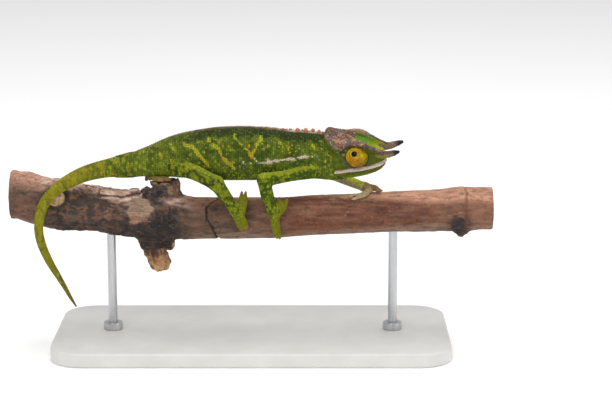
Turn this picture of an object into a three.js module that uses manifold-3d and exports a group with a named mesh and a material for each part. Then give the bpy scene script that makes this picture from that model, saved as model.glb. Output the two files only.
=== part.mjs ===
// A life-size still model of a male canopy chameleon (Furcifer willsii) walking along a branch.
// Millimetres, +Z up. The animal faces +X and its right side faces -Y. The origin lies on the
// underside of the display base, in the middle of the model's bounding box.

import * as THREE from 'three';
import { mergeVertices } from 'three/addons/utils/BufferGeometryUtils.js';
import Module from 'manifold-3d';

const wasm = await Module();
wasm.setup();

// ---------------------------------------------------------------- driving dimensions

const GAP = 0.25; // clear space between neighbouring pieces
const PERCH_LENGTH = 170; // cut length of branch
const BASE = { length: 140, width: 66, height: 5, corner: 12, bevel: 0.8 };
const ROD = { radius: 1.6, spacing: 100, socketDepth: 3, collarRadius: 3.4, collarHeight: 2.4 };
const EYE = { radius: 3.9, side: 3.8, height: 1.9, ahead: 0.5, backFlat: 1.4 };
const PUPIL = { radius: 1.15, seat: 3.05, clear: 0.15 };

// The head is modelled level in its own frame, then leans its crown towards -Y and turns its
// nose a little the same way.
const HEAD_PIVOT = new THREE.Vector3(37.2, 0, 67.7);
const HEAD_ROLL = THREE.MathUtils.degToRad(14);
const HEAD_YAW = THREE.MathUtils.degToRad(-11);

// Trunk and neck: x, top of the back, belly line, half width, sideways shift.
const BODY_STATIONS = [
  [-47.5, 67.8, 60.6, 3.3, -0.4],
  [-42.9, 69.1, 60.5, 3.9, -0.1],
  [-37.2, 71.3, 60.7, 4.5, 0],
  [-30.5, 74.5, 60.8, 5.0, 0],
  [-25.2, 76.1, 60.4, 5.3, 0],
  [-18.1, 77.5, 59.9, 5.6, 0],
  [-11.1, 78.4, 59.5, 5.8, 0],
  [-2.3, 78.6, 59.5, 5.9, 0],
  [6.5, 78.1, 59.5, 5.8, 0],
  [13.5, 77.4, 59.7, 5.5, 0],
  [18.8, 77.0, 60.0, 5.1, 0.2],
  [23.3, 76.5, 59.8, 4.8, 0.6],
  [27.5, 75.8, 59.3, 4.7, 1.2],
  [32.5, 74.6, 59.6, 4.6, 1.4],
];
const TAIL_ROOT_X = -42.9;
const RUMP_LENGTH = 16; // over which the section turns from round to narrow-backed
const NECK_X = 19;
const NECK_END_X = 31.5;

// Tail centre line: x, y, z, radius. It leaves the pelvis, passes in front of the branch and
// hangs below it.
const TAIL_PATH = [
  [-37.0, 0, 66.0, 5.3],
  [-42.9, -0.1, 64.8, 4.33],
  [-49.9, -1, 63.9, 3.4],
  [-54.6, -3, 63.3, 3.04],
  [-59.3, -6, 62.3, 2.76],
  [-64.3, -9.6, 60.3, 2.44],
  [-67.5, -10.9, 58.4, 2.12],
  [-70.5, -11.5, 55.4, 1.98],
  [-72.9, -11.6, 51.3, 1.88],
  [-74.0, -11.5, 47.0, 1.7],
  [-74.2, -11, 42.6, 1.65],
  [-73.2, -10, 37.4, 1.58],
  [-71.1, -8.5, 31.6, 1.42],
  [-68.8, -7.4, 27.0, 1.2],
  [-66.5, -6.4, 22.4, 0.96],
  [-64.3, -5.4, 17.7, 0.71],
  [-62.5, -4.8, 14.4, 0.42],
];
const TAIL_CUTS = [1, 5, 9, 12, 16]; // path points where one length ends and the next begins
const TAIL_WIDTH = 0.9; // width over height

// Skull in the head's own frame: x, middle of the crown, chin, half width, rise of the crown
// towards the brows.
const SKULL_STATIONS = [
  [-12.0, 5.6, -7.4, 3.6, 0.2],
  [-9.5, 7.4, -8.6, 4.7, 0.6],
  [-6.5, 7.0, -8.7, 5.1, 1.0],
  [-3.0, 6.4, -8.1, 5.1, 1.9],
  [0.5, 5.9, -7.2, 5.1, 2.5],
  [4.0, 4.7, -6.1, 4.6, 2.1],
  [7.0, 3.7, -4.8, 3.9, 1.5],
  [8.9, 2.8, -3.5, 3.0, 1.1],
  [9.9, 1.5, -2.1, 1.7, 0.2],
];
const MOUTH = {
  rearX: -7.6, rearZ: -5.2, frontX: 11, frontZ: -0.9, sag: -0.5, below: -12, halfWidth: 10,
};

// Ridges of the head for the animal's left side: x, y, z, radius. The right side mirrors them.
const BROW_RIDGE = [
  [-10.0, 0.9, 8.7, 1.3],
  [-7.8, 3.4, 7.5, 1.2],
  [-4.8, 4.5, 7.0, 1.15],
  [-1.8, 4.7, 7.4, 1.2],
  [0.8, 4.7, 7.3, 1.2],
  [4.0, 4.4, 5.8, 1.15],
  [7.0, 3.9, 4.7, 1.05],
  [9.4, 3.7, 4.1, 0.9],
  [11.2, 3.9, 4.0, 0.5],
];
const CASQUE_EDGE = [
  [-10.0, 0.6, 8.9, 1.1],
  [-10.7, 2.6, 7.3, 0.95],
  [-9.8, 4.1, 5.6, 0.9],
  [-7.6, 4.8, 4.3, 0.85],
  [-4.8, 4.9, 3.6, 0.7],
];
const CASQUE_ROOF = [[-10.2, 0, 8.6, 1.5], [-7.0, 0, 7.2, 1.7], [-3.0, 0, 6.2, 1.5]];
// Horn of the left side: x, y, z, half height. It is a blade flattened from side to side.
const HORN = [
  [7.4, 3.2, 3.0, 1.5],
  [9.8, 3.7, 3.3, 1.5],
  [12.0, 4.1, 3.9, 1.3],
  [13.8, 4.3, 4.6, 1.1],
  [15.0, 4.4, 5.1, 0.75],
];
const HORN_FLATNESS = 0.52;

// Branch: x, height of its middle, radius.
const BRANCH_STATIONS = [
  [-85, 53.9, 8.5],
  [-71, 51.1, 9.0],
  [-54, 48.9, 8.15],
  [-41, 47.2, 8.3],
  [-31, 46.5, 8.9],
  [-20, 45.6, 7.45],
  [-2, 45.7, 7.35],
  [17, 46.3, 7.1],
  [35, 47.2, 7.1],
  [52, 48.0, 7.25],
  [66, 48.6, 7.5],
  [73.5, 48.8, 7.95],
  [80, 49.0, 7.45],
  [85, 49.0, 7.3],
];
// Broken spur on top, broken stub below and a healed twig scar: x, y, z, radius.
const SPUR = [
  [-31.2, 0, 49, 6.0],
  [-32.2, 0, 53.8, 6.2],
  [-30.4, 0, 57.3, 4.5],
  [-31.3, 0, 59.4, 5.4],
];
const SPUR_RIM = [[-28.2, -1.0, 56.5, 2.2], [-27.6, -1.0, 60.2, 1.7]];
const STUB = [
  [-33.2, 0, 46, 7.4],
  [-34.0, 0, 39, 6.3],
  [-35.3, 0, 35.2, 4.3],
  [-34.2, 0, 32.4, 4.0],
  [-32.9, 0, 29.6, 3.7],
  [-32.7, 0, 27.0, 3.1],
];
const TWIG_SCAR = { x: -68.4, y: -7.2, z: 54.7, radius: 3.0 };

// Legs, each as a chain of joints: x, y, z, radius. Toes come in two bundles that close on the
// branch like tongs: each toe is a path from the foot to its claw.
const LEGS = {
  front_right: {
    upper: [[21.9, -3.0, 63.1, 2.6], [13.5, -6.4, 62.2, 2.15], [4.5, -9.0, 61.1, 2.4]],
    lower: [[4.5, -9.0, 61.1, 2.4], [5.6, -9.8, 55.8, 2.35], [7.6, -10.2, 50.6, 2.0]],
    foot: [[7.4, -10.0, 51.0, 1.9], [8.0, -9.8, 48.6, 1.9]],
    toes_outer: [
      [[7.4, -9.8, 48.6, 1.3], [8.0, -9.3, 44.2, 1.1], [8.7, -6.9, 40.6, 0.85]],
      [[8.5, -9.7, 48.4, 1.3], [9.1, -9.0, 44.4, 1.1], [9.7, -6.6, 40.4, 0.85]],
    ],
    toes_inner: [
      [[8.3, -9.9, 49.1, 1.25], [9.4, -9.5, 51.6, 1.1], [9.7, -7.8, 53.5, 0.85]],
      [[8.8, -9.7, 48.6, 1.25], [11.2, -9.3, 51.2, 1.1], [12.2, -7.8, 53.4, 0.85]],
    ],
    claws: [[9.0, -5.0, 39.4], [9.9, -4.7, 39.2], [9.9, -6.2, 54.5], [12.3, -6.2, 54.5]],
  },
  hind_right: {
    upper: [[-26.7, -3.0, 65.0, 3.1], [-19.4, -6.4, 63.0, 2.65], [-12.2, -8.6, 59.8, 2.6]],
    lower: [[-12.2, -8.6, 59.8, 2.6], [-8.5, -9.6, 54.7, 2.2], [-5.5, -10.2, 50.4, 1.9]],
    foot: [[-5.5, -10.1, 50.6, 1.9], [-4.6, -9.9, 48.8, 1.95]],
    toes_outer: [
      [[-5.2, -9.8, 48.6, 1.45], [-4.3, -9.7, 45.8, 1.3], [-3.5, -8.9, 43.9, 1.1]],
      [[-4.2, -9.8, 49.0, 1.45], [-2.7, -9.5, 46.4, 1.3], [-2.0, -8.7, 44.4, 1.1]],
    ],
    toes_inner: [
      [[-4.3, -9.7, 49.6, 1.25], [-3.8, -8.4, 52.7, 1.1], [-3.5, -5.8, 55.0, 0.8]],
      [[-3.4, -9.7, 49.4, 1.25], [-2.4, -8.4, 52.5, 1.1], [-2.2, -5.8, 54.9, 0.8]],
    ],
    claws: [[-3.4, -8.1, 42.6], [-1.8, -7.9, 43.1], [-3.5, -4.2, 56.2], [-2.0, -4.2, 56.2]],
  },
  front_left: {
    upper: [[21.2, 2.8, 62.6, 2.4], [24.6, 8.6, 61.4, 2.0], [28.5, 13.0, 58.9, 1.95]],
    lower: [[28.5, 13.0, 58.9, 2.05], [34.6, 8.2, 57.3, 1.9], [40.2, 3.0, 56.1, 1.65]],
    foot: [[39.9, 3.3, 56.2, 1.6], [41.6, 1.4, 56.0, 1.6]],
    toes_outer: [
      [[41.9, 1.4, 56.2, 1.35], [43.4, 0.7, 56.3, 1.2], [44.6, -1.5, 56.0, 0.95]],
      [[41.7, 2.0, 55.9, 1.3], [43.4, 2.5, 55.6, 1.15], [45.0, 2.9, 55.2, 0.8]],
    ],
    toes_inner: [
      [[41.2, 0.6, 55.4, 1.15], [39.0, -2.0, 54.65, 0.85], [35.6, -2.7, 54.2, 0.7]],
      [[41.6, 0.2, 55.3, 1.15], [39.8, -3.1, 54.2, 0.85], [36.6, -4.1, 53.6, 0.7]],
    ],
    claws: [[45.1, -2.9, 55.3], [46.3, 2.9, 54.7], [34.1, -2.9, 53.9], [35.1, -4.4, 53.2]],
  },
  hind_left: {
    upper: [[-27.2, 2.8, 64.2, 3.0], [-23.8, 8.6, 63.4, 2.6], [-21.2, 13.6, 62.6, 2.5]],
    lower: [[-21.2, 13.6, 62.6, 2.5], [-26.6, 9.2, 61.9, 2.1], [-31.6, 5.4, 60.6, 1.8]],
    foot: [[-31.4, 5.6, 60.6, 1.8], [-32.6, 4.0, 60.2, 1.75]],
    toes_outer: [
      [[-33.0, 3.8, 60.3, 1.25], [-35.4, 1.2, 60.3, 1.1], [-35.8, -2.0, 60.2, 0.85]],
      [[-33.0, 3.8, 60.1, 1.25], [-36.6, 2.8, 60.2, 1.05], [-37.1, -0.4, 59.8, 0.8]],
    ],
    toes_inner: [
      [[-32.4, 3.4, 60.4, 1.25], [-32.2, -1.6, 60.3, 1.1], [-29.6, -4.1, 60.4, 1.0]],
      [[-32.8, 3.2, 60.4, 1.25], [-34.4, -2.2, 60.2, 1.15], [-31.8, -4.6, 60.3, 1.05]],
    ],
    claws: [[-35.4, -3.3, 60.0], [-37.2, -1.7, 59.3], [-28.0, -4.5, 60.3], [-30.1, -5.4, 60.1]],
  },
};

const CLAW = { root: 0.7, middle: 0.42, tip: 0.26 }; // root is a share of the toe's radius

// Small pointed scales that stand up on the nape and the front of the back.
const CREST = {
  firstX: 11, pitch: 2.35, count: 8, smallest: 0.55, radius: 0.55, tip: 0.25, height: 1.15, sink: 0.35,
};

// How finely each kind of piece is faceted: points round a section, and sections along it.
const FACETS = {
  trunk: { sides: 18, rings: 14 },
  neck: { sides: 18, rings: 4 },
  tail: { sides: 13, rings: 7, fewerSides: 2 },
  skull: { sides: 16, rings: 10 },
  brow: { sides: 5, rings: 7, tipRings: 0 },
  casque: { sides: 5, rings: 5, tipRings: 0 },
  roof: { sides: 6, rings: 3, tipRings: 0 },
  horn: { sides: 8, rings: 6, tipRings: 0 },
  eye: { sides: 12, rings: 7 },
  pupil: { sides: 9, rings: 5 },
  leg: { sides: 9, rings: 4 },
  foot: { sides: 8, rings: 2 },
  toe: { sides: 6, rings: 3, tipRings: 0 },
  claw: { sides: 4, rings: 2, tipRings: 0 },
  spine: 5,
  branch: { sides: 13, rings: 20 },
  brokenWood: 10,
  twigScar: { sides: 8, rings: 5 },
  rod: 12,
};

const COLOURS = {
  flank: '#5c6a26', back: '#535a28', head: '#8d7565', jaw: '#6f7f35', horn: '#7f685d',
  eye: '#c39c20', pupil: '#0b0a0c', leg: '#5f7024', toes: '#727a2c', bark: '#7c5a4a',
  base: '#e6e2da', steel: '#b9bcc0',
};

// ---------------------------------------------------------------- solids

// A closed geometry as a manifold solid.
function solidOf(geometry) {
  const bare = geometry.clone();
  bare.deleteAttribute('normal');
  bare.deleteAttribute('uv');
  const merged = mergeVertices(bare, 1e-4);
  return new wasm.Manifold(new wasm.Mesh({
    numProp: 3,
    vertProperties: new Float32Array(merged.attributes.position.array),
    triVerts: new Uint32Array(merged.index.array),
  }));
}

// The largest connected body of a solid, so that a cut leaves no crumbs.
function largest(solid) {
  const bodies = solid.decompose();
  return bodies.reduce((best, body) => (body.volume() > best.volume() ? body : best));
}

const joined = (solids) => solids.reduce((sum, solid) => sum.add(solid));
const without = (solid, cutters) => largest(cutters.reduce((rest, cutter) => rest.subtract(cutter), solid));

// A lofted body on the grid of a sphere: every row is one ring, and the first and last rows are
// the points that close the ends.
function loft({ rings, sides }, ringPoint, startPoint, endPoint) {
  const geometry = new THREE.SphereGeometry(1, sides, rings + 1);
  const position = geometry.attributes.position;
  for (let i = 0; i < position.count; i += 1) {
    const row = Math.floor(i / (sides + 1));
    const angle = ((i % (sides + 1)) % sides) / sides * 2 * Math.PI;
    const point = row === 0 ? startPoint : row === rings + 1 ? endPoint : ringPoint(row - 1, angle);
    position.setXYZ(i, point.x, point.y, point.z);
  }
  const solid = solidOf(geometry);
  return solid.volume() > 0 ? solid : solidOf(flipped(geometry));
}

function flipped(geometry) {
  const index = geometry.index.array;
  for (let i = 0; i < index.length; i += 3) {
    [index[i + 1], index[i + 2]] = [index[i + 2], index[i + 1]];
  }
  return geometry;
}

// Smooth value between the rows of a station table, which are sorted by their first number.
function station(table, x) {
  const last = table.length - 1;
  let k = 0;
  while (k < last - 1 && x > table[k + 1][0]) k += 1;
  const before = table[Math.max(k - 1, 0)];
  const after = table[Math.min(k + 2, last)];
  const t = THREE.MathUtils.clamp((x - table[k][0]) / (table[k + 1][0] - table[k][0]), 0, 1);
  return table[k].map((value, column) => {
    const next = table[k + 1][column];
    const slopeIn = (next - before[column]) / 2;
    const slopeOut = (after[column] - value) / 2;
    const t2 = t * t;
    const t3 = t2 * t;
    return (2 * t3 - 3 * t2 + 1) * value + (t3 - 2 * t2 + t) * slopeIn
      + (3 * t2 - 2 * t3) * next + (t3 - t2) * slopeOut;
  });
}

// A round or flattened limb along a path of [x, y, z, radius]. grow makes it thicker all over, and
// flatness scales its width across the vertical plane of the path.
function limb(path, { sides, rings, tipRings = 1 }, grow = 0, flatness = 1) {
  const points = path.map(([x, y, z]) => new THREE.Vector3(x, y, z));
  const curve = new THREE.CatmullRomCurve3(points, false, 'centripetal');
  const radii = path.map(([, , , radius], i) => [i / (path.length - 1), radius]);
  const domeStep = Math.PI / 2 / (tipRings + 1);
  const count = rings + 2 * tipRings;
  const frameAt = (row) => {
    const t = THREE.MathUtils.clamp((row - tipRings) / (rings - 1), 0, 1);
    const rise = row < tipRings ? (tipRings - row) * domeStep
      : row >= rings + tipRings ? (row - rings - tipRings + 1) * domeStep : 0;
    const outward = row < tipRings ? -1 : 1;
    const radius = station(radii, t)[1] + grow;
    const along = curve.getTangent(t);
    const centre = curve.getPoint(t).addScaledVector(along, outward * radius * Math.sin(rise));
    const aside = new THREE.Vector3(0, 0, 1).cross(along);
    if (aside.length() < 0.2) aside.set(0, 1, 0);
    aside.normalize();
    const up = along.clone().cross(aside).normalize();
    return { centre, aside, up, radius: radius * Math.cos(rise) };
  };
  const frames = Array.from({ length: count }, (_, row) => frameAt(row));
  const ringPoint = (row, angle) => {
    const { centre, aside, up, radius } = frames[row];
    return centre.clone()
      .addScaledVector(aside, radius * flatness * Math.cos(angle))
      .addScaledVector(up, radius * Math.sin(angle));
  };
  const tip = (t, outward) => curve.getPoint(t)
    .addScaledVector(curve.getTangent(t), outward * (station(radii, t)[1] + grow));
  return loft({ rings: count, sides }, ringPoint, tip(0, -1), tip(1, 1));
}

// A length of the tail with flat ends, from point number `from` of its path to point number `to`.
// The first end faces startAlong where that is given.
function tailLength(from, to, { sides, rings }, startAlong) {
  const points = TAIL_PATH.map(([x, y, z]) => new THREE.Vector3(x, y, z));
  const curve = new THREE.CatmullRomCurve3(points, false, 'centripetal');
  const last = TAIL_PATH.length - 1;
  const radii = TAIL_PATH.map(([, , , radius], i) => [i / last, radius]);
  const side = new THREE.Vector3(0, 1, 0);
  const frameAt = (row) => {
    const t = (from + (to - from) * row / (rings - 1)) / last;
    const along = row === 0 && startAlong ? startAlong : curve.getTangent(t);
    const edge = row === 0 ? 1 : row === rings - 1 ? -1 : 0;
    const centre = curve.getPoint(t).addScaledVector(along, edge * GAP / 2);
    const up = along.clone().cross(side).normalize();
    const aside = up.clone().cross(along).normalize();
    return { centre, aside, up, radius: station(radii, t)[1] };
  };
  const frames = Array.from({ length: rings }, (_, row) => frameAt(row));
  const ringPoint = (row, angle) => {
    const { centre, aside, up, radius } = frames[row];
    return centre.clone()
      .addScaledVector(aside, radius * TAIL_WIDTH * Math.cos(angle))
      .addScaledVector(up, radius * Math.sin(angle));
  };
  return loft({ rings, sides }, ringPoint, frames[0].centre, frames[rings - 1].centre);
}

// A length of the trunk and neck. The section is narrow along the back and full at the belly.
function bodyLength(fromX, toX, facets, grow = 0) {
  const ringPoint = (row, angle) => {
    const x = fromX + (toX - fromX) * row / (facets.rings - 1);
    const [, top, bottom, halfWidth, shift] = station(BODY_STATIONS, x);
    const middle = (top + bottom) / 2;
    const halfHeight = (top - bottom) / 2 + grow;
    const sine = Math.sin(angle);
    const narrowing = THREE.MathUtils.smoothstep(x, TAIL_ROOT_X, TAIL_ROOT_X + RUMP_LENGTH);
    const fullness = 1 + narrowing * (0.4 * sine - 0.05);
    const across = Math.sign(Math.cos(angle)) * Math.abs(Math.cos(angle)) ** fullness;
    return new THREE.Vector3(x, shift + (halfWidth + grow) * across, middle + halfHeight * sine);
  };
  const centre = (x) => {
    const [, top, bottom, , shift] = station(BODY_STATIONS, x);
    return new THREE.Vector3(x, shift, (top + bottom) / 2);
  };
  return loft(facets, ringPoint, centre(fromX), centre(toX));
}

// ---------------------------------------------------------------- head

const headMatrix = new THREE.Matrix4().compose(
  HEAD_PIVOT,
  new THREE.Quaternion().setFromEuler(new THREE.Euler(HEAD_ROLL, 0, HEAD_YAW, 'XYZ')),
  new THREE.Vector3(1, 1, 1),
);
const placed = (solid) => solid.transform(headMatrix.elements);
const mirrored = (path, side) => path.map(([x, y, z, radius]) => [x, y * side, z, radius]);

// Section of the skull: a flat broad crown above and a rounded chin below.
function skull(grow) {
  const first = SKULL_STATIONS[0][0] - grow;
  const last = SKULL_STATIONS[SKULL_STATIONS.length - 1][0] + grow;
  const ringPoint = (row, angle) => {
    const x = first + (last - first) * row / (FACETS.skull.rings - 1);
    const [, crown, chin, halfWidth, brow] = station(SKULL_STATIONS, x);
    const [cosine, sine] = [Math.cos(angle), Math.sin(angle)];
    const across = Math.sign(cosine) * Math.abs(cosine) ** (sine > 0 ? 0.4 : 0.8);
    const rise = sine > 0
      ? (crown + grow) * sine ** 0.6 + brow * 2 * sine * cosine ** 2
      : (chin - grow) * Math.abs(sine) ** 0.9;
    return new THREE.Vector3(x, (halfWidth + grow) * across, rise);
  };
  const rear = new THREE.Vector3(first - 0.3, 0, 0);
  const nose = new THREE.Vector3(last + 0.5, 0, -0.3);
  return loft(FACETS.skull, ringPoint, rear, nose);
}

function headMass(grow) {
  const ridges = [-1, 1].flatMap((side) => [
    limb(mirrored(BROW_RIDGE, side), FACETS.brow, grow),
    limb(mirrored(CASQUE_EDGE, side), FACETS.casque, grow),
  ]);
  const roof = limb(CASQUE_ROOF, FACETS.roof, grow);
  return joined([skull(grow), roof, ...ridges]);
}

const hornBlade = (side, grow) => limb(mirrored(HORN, side), FACETS.horn, grow, HORN_FLATNESS);

function ball({ x, y, z }, radius, { sides, rings }) {
  return solidOf(new THREE.SphereGeometry(radius, sides, rings).translate(x, y, z));
}

const eyeCentre = (side) => new THREE.Vector3(EYE.ahead, EYE.side * side, EYE.height);
const GAZE = {
  [-1]: new THREE.Vector3(-0.15, -0.8, 0.58).normalize(),
  [1]: new THREE.Vector3(0.3, 0.92, 0.22).normalize(),
};
const pupilCentre = (side) => eyeCentre(side).addScaledVector(GAZE[side], PUPIL.seat);

// The domed eye, cut flat on its inner face, so that the two eyes stay apart.
function eyeDome(side, grow) {
  const reach = 2 * (EYE.radius + 2 * grow);
  const slab = new THREE.BoxGeometry(2 * reach, reach, 2 * reach)
    .translate(EYE.ahead, side * (EYE.backFlat - grow + reach / 2), EYE.height);
  return ball(eyeCentre(side), EYE.radius + grow, FACETS.eye).intersect(solidOf(slab));
}

// Everything below the mouth line, from the corner of the mouth forwards.
function jawRegion(shrink) {
  const { rearX, rearZ, frontX, frontZ, sag, below, halfWidth } = MOUTH;
  const top = (t) => new THREE.Vector2(
    THREE.MathUtils.lerp(rearX, frontX, t),
    THREE.MathUtils.lerp(rearZ, frontZ, t) + sag * Math.sin(Math.PI * t) - shrink,
  );
  const line = [0, 0.25, 0.5, 0.75, 1].map(top);
  line[0].x += shrink;
  const outline = new THREE.Shape([
    ...line,
    new THREE.Vector2(frontX, below),
    new THREE.Vector2(rearX - 1.5 + shrink, below),
  ]);
  const plate = new THREE.ExtrudeGeometry(outline, { depth: 2 * halfWidth, bevelEnabled: false });
  plate.rotateX(Math.PI / 2).translate(0, halfWidth, 0);
  return solidOf(plate);
}

// ---------------------------------------------------------------- branch and stand

// Slow swellings of the bark, as a share of the radius.
const barkSwell = (x, angle) => 1 + 0.018 * Math.sin(3 * angle + x * 0.11)
  + 0.012 * Math.sin(5 * angle - x * 0.23);

function branch(grow) {
  const half = PERCH_LENGTH / 2;
  const centre = (x) => new THREE.Vector3(x, 0, station(BRANCH_STATIONS, x)[1]);
  const ringPoint = (row, angle) => {
    const x = -half + PERCH_LENGTH * row / (FACETS.branch.rings - 1);
    const radius = station(BRANCH_STATIONS, x)[2] * barkSwell(x, angle) + grow;
    return centre(x).add(new THREE.Vector3(0, radius * Math.cos(angle), radius * Math.sin(angle)));
  };
  return loft(FACETS.branch, ringPoint, centre(-half), centre(half));
}

// An upright broken piece of wood along x, y, z, radius, with a flat end.
function brokenWood(path, grow) {
  const last = path.length - 1;
  const upward = Math.sign(path[last][2] - path[0][2]);
  const centre = (row) => {
    const [x, y, z] = path[row];
    return new THREE.Vector3(x, y, row === last ? z + upward * grow : z);
  };
  const ringPoint = (row, angle) => {
    const radius = path[row][3] * (1 + 0.07 * Math.sin(3 * angle + row)) + grow;
    return centre(row).add(new THREE.Vector3(radius * Math.cos(angle), radius * Math.sin(angle), 0));
  };
  const facets = { rings: path.length, sides: FACETS.brokenWood };
  return loft(facets, ringPoint, centre(0), centre(last));
}

const perch = (grow) => joined([
  branch(grow),
  brokenWood(SPUR, grow),
  brokenWood(SPUR_RIM, grow),
  brokenWood(STUB, grow),
  ball(TWIG_SCAR, TWIG_SCAR.radius + grow, FACETS.twigScar),
]);

const cylinder = (x, fromZ, toZ, radius) => solidOf(
  new THREE.CylinderGeometry(radius, radius, toZ - fromZ, FACETS.rod)
    .rotateX(Math.PI / 2)
    .translate(x, 0, (fromZ + toZ) / 2),
);

function baseBlock() {
  const { length, width, height, corner, bevel } = BASE;
  const x = length / 2 - bevel;
  const y = width / 2 - bevel;
  const r = corner - bevel;
  const outline = new THREE.Shape();
  outline.moveTo(x - r, -y);
  outline.absarc(x - r, -y + r, r, -Math.PI / 2, 0);
  outline.absarc(x - r, y - r, r, 0, Math.PI / 2);
  outline.absarc(-x + r, y - r, r, Math.PI / 2, Math.PI);
  outline.absarc(-x + r, -y + r, r, Math.PI, Math.PI * 1.5);
  outline.closePath();
  const block = new THREE.ExtrudeGeometry(outline, {
    depth: height - 2 * bevel,
    bevelThickness: bevel,
    bevelSize: bevel,
    bevelSegments: 1,
    curveSegments: 3,
  });
  return solidOf(block.translate(0, 0, bevel));
}

// ---------------------------------------------------------------- assembly

const model = new THREE.Group();

function put(name, solid, colour, roughness = 0.6, metalness = 0) {
  const { vertProperties, triVerts } = solid.getMesh();
  const geometry = new THREE.BufferGeometry();
  geometry.setAttribute('position', new THREE.BufferAttribute(vertProperties, 3));
  geometry.setIndex(new THREE.BufferAttribute(triVerts, 1));
  geometry.computeVertexNormals();
  const material = new THREE.MeshStandardMaterial({ color: colour, roughness, metalness });
  const mesh = new THREE.Mesh(geometry, material);
  mesh.name = name;
  model.add(mesh);
}

const perchClear = perch(GAP);
const trunkClear = bodyLength(TAIL_ROOT_X - 3, NECK_END_X, FACETS.trunk, GAP);

// Neck and trunk, with the crest of small spines along the nape joined to them.
function crestSpine(i) {
  const x = CREST.firstX + CREST.pitch * i;
  const [, top, , , shift] = station(BODY_STATIONS, x);
  const size = THREE.MathUtils.lerp(CREST.smallest, 1, i / (CREST.count - 1));
  const height = CREST.height * size + CREST.sink;
  const cone = new THREE.CylinderGeometry(CREST.tip, CREST.radius * (0.7 + 0.3 * size), height, FACETS.spine)
    .rotateX(Math.PI / 2)
    .translate(x, shift, top - CREST.sink + height / 2);
  return { x, solid: solidOf(cone) };
}

const spines = Array.from({ length: CREST.count }, (_, i) => crestSpine(i));
const spinesOf = (inNeck) => spines.filter(({ x }) => (x > NECK_X) === inNeck).map(({ solid }) => solid);
const headClear = placed(headMass(GAP));
const trunk = bodyLength(TAIL_ROOT_X + GAP / 2, NECK_X - GAP / 2, FACETS.trunk);
const neck = bodyLength(NECK_X + GAP / 2, NECK_END_X, FACETS.neck);
put('trunk', joined([trunk, ...spinesOf(false)]), COLOURS.flank);
put('neck', without(joined([neck, ...spinesOf(true)]), [headClear]), COLOURS.flank);

// Tail in four lengths.
for (let i = 0; i < TAIL_CUTS.length - 1; i += 1) {
  const startAlong = i === 0 ? new THREE.Vector3(-1, 0, 0) : undefined;
  const { sides, rings, fewerSides } = FACETS.tail;
  const facets = { sides: sides - fewerSides * i, rings };
  put(`tail_${i + 1}`, tailLength(TAIL_CUTS[i], TAIL_CUTS[i + 1], facets, startAlong), COLOURS.flank);
}

// Head, jaw, horns and eyes.
const SIDE_NAMES = { [-1]: 'right', [1]: 'left' };
const sockets = [-1, 1].map((side) => eyeDome(side, GAP));
const hornsClear = [-1, 1].map((side) => hornBlade(side, GAP));
const wholeHead = headMass(0);
put('head', placed(without(wholeHead, [jawRegion(0), ...sockets, ...hornsClear])), COLOURS.head);
put('jaw', placed(without(wholeHead.intersect(jawRegion(GAP)), [...sockets, ...hornsClear])), COLOURS.jaw);
for (const side of [-1, 1]) {
  const name = SIDE_NAMES[side];
  const seat = ball(pupilCentre(side), PUPIL.radius + PUPIL.clear, FACETS.pupil);
  put(`horn_${name}`, placed(hornBlade(side, 0)), COLOURS.horn);
  put(`eye_${name}`, placed(without(eyeDome(side, 0), [seat])), COLOURS.eye);
  put(`pupil_${name}`, placed(ball(pupilCentre(side), PUPIL.radius, FACETS.pupil)), COLOURS.pupil, 0.1);
}

// Legs. Each piece is cut clear of the pieces before it, of the trunk and of the branch.
function claw(toe, [tipX, tipY, tipZ]) {
  const [x, y, z, radius] = toe[toe.length - 1];
  const path = [
    [x, y, z, radius * CLAW.root],
    [(x + tipX) / 2, (y + tipY) / 2, (z + tipZ) / 2, CLAW.middle],
    [tipX, tipY, tipZ, CLAW.tip],
  ];
  return limb(path, FACETS.claw);
}

const toesOf = (paths, grow) => joined(paths.map((path) => limb(path, FACETS.toe, grow)));
const bundle = (paths, tips) => joined([toesOf(paths, 0), ...paths.map((path, i) => claw(path, tips[i]))]);

for (const [name, leg] of Object.entries(LEGS)) {
  const upperClear = limb(leg.upper, FACETS.leg, GAP);
  const footCuts = [limb(leg.lower, FACETS.leg, GAP), trunkClear, perchClear];
  const toeCuts = [limb(leg.foot, FACETS.foot, GAP), ...footCuts];
  const pieces = {
    upper: without(limb(leg.upper, FACETS.leg), [trunkClear, perchClear, headClear]),
    lower: without(limb(leg.lower, FACETS.leg), [upperClear, trunkClear, perchClear]),
    foot: without(limb(leg.foot, FACETS.foot), footCuts),
    toes_outer: without(bundle(leg.toes_outer, leg.claws.slice(0, 2)), toeCuts),
    toes_inner: without(
      bundle(leg.toes_inner, leg.claws.slice(2)),
      [toesOf(leg.toes_outer, GAP), ...toeCuts],
    ),
  };
  for (const [part, solid] of Object.entries(pieces)) {
    put(`leg_${name}_${part}`, solid, part.startsWith('toes') ? COLOURS.toes : COLOURS.leg);
  }
}

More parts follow.
